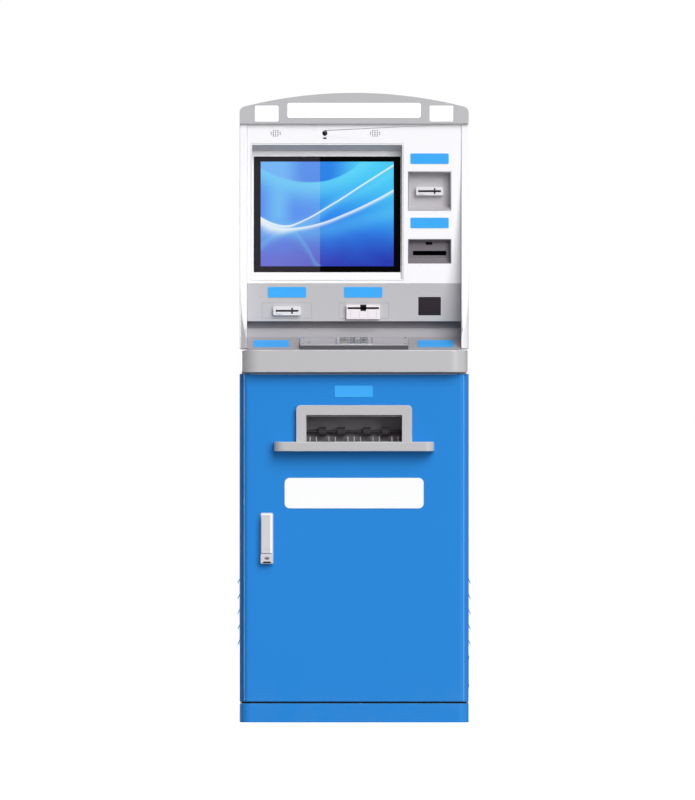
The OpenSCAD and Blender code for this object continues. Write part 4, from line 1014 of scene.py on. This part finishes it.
class TERMINAL_OT_lock(bpy.types.Operator):
    """Swing handle, lock cam and lock rods"""
    bl_idname = "terminal.lock"
    bl_label = "Handle and lock"

    def execute(self, context):
        for name in ("lock_cam", "upper_lock_rod", "lower_lock_rod"):
            softened(name, 0.0004, 1)
        for name in ("handle_base", "handle_lever"):
            softened(name, 0.0008, 2, "handle_grey")
        self.bevels()
        low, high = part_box("handle_base")
        middle_x = (low.x + high.x) / 2
        cover = plate_mesh(0.0125, 0.0030, 0.0004, 0.0005, 0.0002)
        cover = placed(cover, on_plane((0, -1, 0), low.y, middle_x, low.z + 0.0135))
        added("handle_lock_cover", cover, "dark_chrome_and_painted_shade", "front_door")
        # painted shade: a black trapezoid under the handle's foot stands for its shaded bottom bevel
        bottom_shade = layered([[(-0.0125, 0, z), (0.0125, 0, z), (0.0076, 0.0042, z), (-0.0076, 0.0042, z)]
                        for z in (0.0, 0.0004)])
        bottom_shade = placed(bottom_shade, on_plane((0, -1, 0), low.y, middle_x, low.z + 0.0012))
        added("handle_heel", bottom_shade, "painted_shade_black", "front_door")
        return {"FINISHED"}

    @staticmethod
    def bevels():
        """Bright strips down the lever's right side and along its top: a painted highlight on the bevels
        that face the light.
        """
        low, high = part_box("handle_lever")
        bevel, top_bevel, corner, proud, rim = 0.0056, 0.0038, 0.0006, 0.0003, 0.0001
        right = placed(plate_mesh(bevel, high.z - low.z - 2 * rim, corner, proud, rim), on_plane(
            (0, -1, 0), low.y, high.x - bevel / 2 - rim, (low.z + high.z) / 2))
        top_width = high.x - low.x - bevel - 3 * rim
        top = placed(plate_mesh(top_width, top_bevel, corner, proud, rim), on_plane(
            (0, -1, 0), low.y, (low.x + high.x - bevel) / 2 - rim / 2, high.z - top_bevel / 2 - rim))
        added("handle_lever_bevels", merged([right, top], "bevels"), "bevel_painted_highlight", "handle_lever")


class TERMINAL_OT_rear_door(bpy.types.Operator):
    """Service door at the back"""
    bl_idname = "terminal.rear_door"
    bl_label = "Rear door"

    def execute(self, context):
        softened("rear_door", context.scene.terminal_cabinet.panel_edge, 2)
        return {"FINISHED"}


class TERMINAL_OT_desk(bpy.types.Operator):
    """Sloping desk and the keypad's base and plate"""
    bl_idname = "terminal.desk"
    bl_label = "Desk"

    def execute(self, context):
        desk = softened("desk_top", 0.0008, 2)
        slope_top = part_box("desk_top")[1].z - 0.0179
        # painted shade: the groove's back wall under the lower fascia's overhang is darker
        dressed_faces(desk, "groove_painted_shade", lambda place, out: out.y < -0.9 and place.z > slope_top)
        softened("keypad_base", 0.0004, 1, "keypad_edge")
        softened("keypad_plate", 0.0005, 2, "keypad_grey")
        top = face_frame("keypad_plate", (0, 0, 1))
        low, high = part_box("keypad_plate")
        span_x, span_y = high.x - low.x - 0.014, high.y - low.y - 0.012
        fitting_rows("keypad_plate_screws", screw_mesh(), top, 2, 2, span_x, span_y,
                     "screw_zinc", "root", turn=1.0)
        guard = outline_mesh(0.094, 0.0815, 0.006, 0.0022, 0.0012)
        added("keypad_guard_rim", placed(guard, top), "screw_zinc", "root")
        sensor = turned_mesh(((0.0021, 0), (0.0021, 0.0005), (0.0016, 0.0009), (0.00002, 0.0010)))
        added("keypad_sensor", placed(sensor, top @ Matrix.Translation((-0.115, -0.018, 0))),
              "lens_glass", "root")
        return {"FINISHED"}


KEY_LEGENDS = {**{f"key_{n}": str(n) for n in range(10)}, "key_clear": None, "key_enter": None}


class TERMINAL_OT_keys(bpy.types.Operator):
    """Steel keys with raised digits, and bars on the clear and enter keys"""
    bl_idname = "terminal.keys"
    bl_label = "Keys"

    def execute(self, context):
        settings = context.scene.terminal_keypad
        for name, digit in KEY_LEGENDS.items():
            softened(name, 0.0008, 3)
            top = face_frame(name, (0, 0, 1)) @ Matrix.Translation((0, 0, 0.00001))
            if digit:
                legend = text_mesh(digit, settings.digit_height, settings.digit_proud)
                material = "digit_dark"
            else:
                legend = plate_mesh(0.0115, 0.0034, 0.0012, settings.digit_proud, 0.0001)
                material = name[4:] + "_bar"
            added(name + "_legend", placed(legend, top), material, name)
        return {"FINISHED"}


class TERMINAL_OT_console(bpy.types.Operator):
    """Cheeks, hood, fascias, crown and labels"""
    bl_idname = "terminal.console"
    bl_label = "Console"

    def execute(self, context):
        settings = context.scene.terminal_console
        for name in ("left_cheek", "right_cheek"):
            softened(name, settings.cheek_edge, 3, "cheek")
        softened("rear_hood", 0.0012, 2)
        softened("upper_fascia", 0.0007, 2)
        softened("lower_fascia", 0.0008, 2)
        softened("crown_header", settings.crown_edge, 3)
        softened("crown_panels", 0.0006, 2)
        softened("function_labels", 0.0003, 2)
        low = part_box("lower_fascia")[0]
        plate_width, plate_height, corner, rise = 0.1275, 0.0405, 0.0018, 0.0275
        for name, x in (("id_plate_outline", -0.1720), ("receipt_plate_outline", 0.0250)):
            line = outline_mesh(plate_width, plate_height, corner, settings.outline_width, 0.00018)
            added(name, placed(line, on_plane((0, -1, 0), low.y, x, low.z + rise)), "joint_line",
                  "root")
        return {"FINISHED"}


class TERMINAL_OT_screen(bpy.types.Operator):
    """Screen surround, cover glass, display module and the lit picture"""
    bl_idname = "terminal.screen"
    bl_label = "Screen"

    def execute(self, context):
        settings = context.scene.terminal_screen
        surround = softened("screen_surround", 0.0008, 2)
        middle = sum(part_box("screen_surround"), Vector()) / 2
        # painted shade: the surround's inner side walls, bottom ledge and soffit are grey
        dressed_faces(surround, "wall_painted_shade", lambda place, out: abs(out.x) > 0.2 and
                      out.x * (place.x - middle.x) < 0 or out.z > 0.4 and place.z < middle.z)
        dressed_faces(surround, "soffit_painted_shade", lambda place, out: out.z < -0.2 and place.z > middle.z)
        softened("touch_glass", 0.0005, 2)
        softened("lcd_module", 0.0008, 1)
        pane = face_frame("touch_glass", (0, -1, 0.1))
        low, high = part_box("touch_glass")
        width, height = high.x - low.x - 2 * settings.picture_margin, settings.picture_height
        mesh = plate_mesh(width, height, 0.0008, 0.00030, 0.0001)
        layer = mesh.uv_layers.new(name="picture")
        for loop in mesh.loops:
            spot = mesh.vertices[loop.vertex_index].co
            layer.data[loop.index].uv = (spot.x / width + 0.5, spot.y / height + 0.5)
        mesh = placed(mesh, pane @ Matrix.Translation((0, 0.0012, 0.00003)))
        painted_reflection_at = (PAINTED_REFLECTION_LINE - (low.x + high.x) / 2) / width + 0.5
        _made["picture"] = picture_finish(settings, painted_reflection_at)
        added("screen_picture", mesh, "picture", "root")
        return {"FINISHED"}


# Boxes whose faces take painted shade, from corner to corner, measured from the middle of the
# front of each piece: black in slots and notches, and grey on the side of a bulge
READER_PAINTED_SHADES = {
    "card_bezel": (("painted_shade_black", (0.0107, 0.0023, -0.0088), (0.0153, 0.0180, 0.0088)),
                   ("painted_shade_black", (-0.0300, 0.0023, -0.0035), (0.0300, 0.0150, 0.0035)),
                   ("dark_chrome_and_painted_shade", (-0.0217, 0.0001, -0.0095), (-0.0087, 0.0019, 0.0095))),
    "id_reader": (("painted_shade_black", (0.0107, 0.0023, -0.0138), (0.0153, 0.0200, 0.0078)),
                  ("painted_shade_black", (-0.0304, 0.0023, -0.0065), (0.0304, 0.1100, 0.0005)),
                  ("dark_chrome_and_painted_shade", (-0.0217, 0.0001, -0.0121), (-0.0087, 0.0019, 0.0059))),
    "note_acceptor": (("painted_shade_black", (-0.0452, 0.0161, 0.0566), (0.0452, 0.1376, 0.0806)),
                      ("painted_shade_black", (-0.0112, 0.0161, 0.0886), (0.0088, 0.0226, 0.0986))),
    "receipt_bezel": (("painted_shade_black", (-0.0096, 0.0005, -0.0010), (0.0096, 0.0095, 0.0175)),
                      ("painted_shade_black", (-0.0404, 0.0005, 0.0065), (0.0406, 0.0095, 0.0125))),
}


class TERMINAL_OT_readers(bpy.types.Operator):
    """Card, note, identity card, receipt and code readers"""
    bl_idname = "terminal.readers"
    bl_label = "Readers"

    def execute(self, context):
        for name, width, segments, material in (
                ("card_recess", 0.0008, 2, "recess_grey"), ("card_bezel", 0.0012, 3, None),
                ("card_reader", 0.0010, 1, None), ("note_acceptor", 0.0010, 2, "dish_grey"),
                ("id_reader", 0.0012, 3, None), ("receipt_bezel", 0.0008, 2, None),
                ("receipt_printer", 0.0010, 1, None), ("scanner_window", 0.0008, 2, "scan_glass")):
            piece = softened(name, width, segments, material)
            low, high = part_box(name)
            front = Vector(((low.x + high.x) / 2, low.y, (low.z + high.z) / 2))
            # painted shade: faces inside each box take a darker finish
            for dark, near, far in READER_PAINTED_SHADES.get(name, ()):
                dressed_faces(piece, dark, lambda place, out: all(
                    a <= value <= b for a, value, b in zip(near, place - front, far)))
        low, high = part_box("receipt_bezel")
        middle = (low + high) / 2
        grooves = [placed(plate_mesh(0.0004, 0.020, 0.00015, 0.00012, 0.00003),
                          on_plane((0, -1, 0), low.y, middle.x + offset, low.z + 0.0125))
                   for offset in (-0.033, -0.010, 0.012, 0.034)]
        added("receipt_bezel_joints", merged(grooves, "joints"), "joint_line", "root")
        return {"FINISHED"}


class TERMINAL_OT_sound_and_view(bpy.types.Operator):
    """Speakers with their grilles, and the camera with its lens"""
    bl_idname = "terminal.sound_and_view"
    bl_label = "Speakers and camera"

    def execute(self, context):
        settings = context.scene.terminal_fixings
        softened("speakers", 0.0008, 2)
        softened("camera", 0.0005, 2)
        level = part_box("upper_fascia")[0].y
        low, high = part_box("speakers")
        radius = (high.z - low.z) / 2
        for side, x in (("left", low.x + radius), ("right", high.x - radius)):
            mesh = grown("Perforated patch", side + "_speaker_grille", {
                "Columns": 5, "Rows": 4, "Column Pitch": settings.hole_pitch,
                "Row Pitch": settings.hole_pitch * 0.78, "Corner Cut": 3.1,
                "Hole Radius": settings.hole_radius, "Proud": 0.0002,
                "Finish": finish("dot_dark")})
            added(side + "_speaker_grille",
                  placed(mesh, on_plane((0, -1, 0), level, x, low.z + radius)),
                  "dot_dark", "root")
        low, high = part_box("camera")
        middle = (low + high) / 2
        lens = turned_mesh(((0.0034, 0), (0.0034, 0.0012), (0.0029, 0.0019), (0.0018, 0.0023),
                            (0.00002, 0.0024)), 32)
        added("camera_lens", placed(lens, on_plane((0, -1, 0), low.y + 0.0028, middle.x, middle.z)),
              "lens_glass", "root")
        mesh = placed(turned_mesh(((0.0052, 0), (0.0050, 0.00018), (0.0036, 0.00024),
                                   (0.00002, 0.00024)), 32), Matrix.Diagonal((1, 0.5, 1, 1)))
        added("microphone_slot", placed(mesh, on_plane((0, -1, 0), level, middle.x, middle.z - 0.0125)),
              "dot_dark", "root")
        return {"FINISHED"}


class TERMINAL_OT_machinery(bpy.types.Operator):
    """Computer, statement printer and fan inside the cabinet"""
    bl_idname = "terminal.machinery"
    bl_label = "Machinery"

    def execute(self, context):
        softened("control_pc", 0.0010, 2)
        softened("statement_printer", 0.0020, 2)
        softened("fan_frame", 0.0007, 2)
        softened("fan_rotor", 0.0005, 1)
        low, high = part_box("statement_printer")
        rib = layered([[(x, y, z) for x, y in rounded_ring(0.0035, 0.096, 0.0016, 3)]
                       for z in (0.0, 0.0016)])
        middle = (low + high) / 2
        fitting_rows("printer_lid_ribs", rib, Matrix.Translation((0, middle.y, high.z)),
                     16, 1, 0.016, 0.1, "printer_white", "root")
        buttons = turned_mesh(((0.0058, 0), (0.0058, 0.0014), (0.0050, 0.0022), (0.00002, 0.0024)))
        fitting_rows("printer_buttons", buttons,
                     on_plane((0, -1, 0), low.y, high.x - 0.032, high.z - 0.046), 1, 3, 0.016, 0.016,
                     "module_grey", "root")
        lamp = turned_mesh(((0.0026, 0), (0.0024, 0.0011), (0.0014, 0.0017), (0.00002, 0.0019)))
        fitting_rows("printer_status_lamps", lamp,
                     on_plane((0, -1, 0), low.y, high.x - 0.052, high.z - 0.046), 1, 2, 0.016, 0.016,
                     "status_green", "root")
        return {"FINISHED"}


class TERMINAL_OT_fixings(bpy.types.Operator):
    """Screws and vent ribs on the back of the hood"""
    bl_idname = "terminal.fixings"
    bl_label = "Fixings"

    def execute(self, context):
        low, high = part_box("rear_hood")
        knee = high.z - 0.131  # where the hood's back bends into its slope
        height = knee - low.z
        back = on_plane((0, 1, 0), high.y, 0.0, low.z + height / 2)
        fitting_rows("hood_back_screws", screw_mesh(), back, 3, 2, 0.245, height - 0.030,
                     "screw_zinc", "root", turn=1.0)
        foot, ridge = (0.105, -0.004, 0.004, 0.0), (0.103, -0.0036, -0.0018, 0.0045)
        rib = layered([[(-reach, lower, z), (reach, lower, z), (reach, upper, z), (-reach, upper, z)]
                       for reach, lower, upper, z in (foot, ridge)])
        rib = rounded_edges(rib, "hood_vent_rib", 0.0006, 2)
        fitting_rows("hood_vent_ribs", rib, back @ Matrix.Translation((0, 0.095, 0)), 1, 9, 0.1, 0.017,
                     "white_paint", "root")
        return {"FINISHED"}


class TERMINAL_OT_stage(bpy.types.Operator):
    """Pale floor, soft studio light and the camera"""
    bl_idname = "terminal.stage"
    bl_label = "Stage"

    def execute(self, context):
        scene, settings = context.scene, context.scene.terminal_stage
        scene.view_settings.view_transform = "Standard"
        bm = bmesh.new()
        bmesh.ops.create_grid(bm, x_segments=8, y_segments=8, size=14)
        mesh = bpy.data.meshes.new("floor")
        bm.to_mesh(mesh)
        bm.free()
        floor = link("floor", mesh)
        material, tree, shader = blank_material("Studio floor")
        tree.links.new(mixed(tree, remap(tree, noise(tree, 1.3, 3.0), 0.3, 0.7),
                             srgb(152, 152, 153), srgb(148, 148, 150)), shader.inputs["Base Color"])
        shader.inputs["Roughness"].default_value = 0.8
        shader.inputs["Emission Color"].default_value = (1, 1, 1, 1)
        eye_only = node(tree, "ShaderNodeLightPath").outputs["Is Camera Ray"]
        glow = calc(tree, "MULTIPLY", eye_only, settings.floor_glow)
        put(tree, shader.inputs["Emission Strength"], glow)
        mesh.materials.append(material)
        self.room(scene, settings.sky_level)
        self.far_light("key_light", KEY_DIRECTION, settings.key_strength, settings.key_spread)
        self.far_light("strip_light", STRIP_DIRECTION, settings.strip_strength, settings.key_spread / 4)
        self.far_light("back_light", BACK_DIRECTION, settings.back_strength, settings.key_spread)
        eye = bpy.data.cameras.new("camera_eye")
        eye.lens = settings.lens * 1000
        eye.sensor_width = 36
        view_height, plane_y, aim_x, aim_z = 2.0446, -0.25, -0.0169, 0.824
        viewer = link("viewpoint", eye)
        distance = view_height * eye.lens / eye.sensor_width
        viewer.location = (aim_x, plane_y - distance, aim_z)
        viewer.rotation_euler = (math.pi / 2, 0, 0)
        scene.camera = viewer
        return {"FINISHED"}

    @staticmethod
    def room(scene, level):
        """Even light from all round, with a white backdrop for the eye alone."""
        world = bpy.data.worlds.new("room")
        world.use_nodes = True
        scene.world = world
        tree = world.node_tree
        surface = tree.nodes["Background"]
        surface.inputs["Color"].default_value = (1, 1, 1, 1)
        eye_only = node(tree, "ShaderNodeLightPath").outputs["Is Camera Ray"]
        put(tree, surface.inputs["Strength"], remap(tree, eye_only, 0, 1, level, 1.0, smooth=False))

    @staticmethod
    def far_light(name, towards, strength, spread):
        """A soft light whose rays come from one side, the same over the whole floor."""
        lamp = bpy.data.lights.new(name, "SUN")
        lamp.energy, lamp.angle = strength, spread
        holder = link(name, lamp)
        holder.location = Vector(towards) * 4
        holder.rotation_euler = Vector(towards).to_track_quat("Z", "Y").to_euler()


OPERATORS = (
    TERMINAL_OT_cabinet, TERMINAL_OT_front_door, TERMINAL_OT_lock, TERMINAL_OT_rear_door,
    TERMINAL_OT_desk, TERMINAL_OT_keys, TERMINAL_OT_console, TERMINAL_OT_screen,
    TERMINAL_OT_readers, TERMINAL_OT_sound_and_view, TERMINAL_OT_machinery, TERMINAL_OT_fixings,
    TERMINAL_OT_stage,
)


class VIEW3D_PT_terminal(bpy.types.Panel):
    bl_label = "Self-service terminal"
    bl_space_type = "VIEW_3D"
    bl_region_type = "UI"
    bl_category = "Terminal"

    def draw(self, context):
        for owner, group in SETTINGS.items():
            box = self.layout.box()
            for key in group.__annotations__:
                box.prop(getattr(context.scene, owner), key)
        for operator in OPERATORS:
            self.layout.operator(operator.bl_idname)


def register():
    for cls in (*SETTINGS.values(), *OPERATORS, VIEW3D_PT_terminal):
        bpy.utils.register_class(cls)
    for owner, group in SETTINGS.items():
        setattr(bpy.types.Scene, owner, bpy.props.PointerProperty(type=group))


def unregister():
    for owner in SETTINGS:
        delattr(bpy.types.Scene, owner)
    for cls in (VIEW3D_PT_terminal, *OPERATORS[::-1], *list(SETTINGS.values())[::-1]):
        bpy.utils.unregister_class(cls)


def main():
    register()
    for operator in OPERATORS:
        group, name = operator.bl_idname.split(".")
        getattr(getattr(bpy.ops, group), name)()


if __name__ == "__main__":
    main()
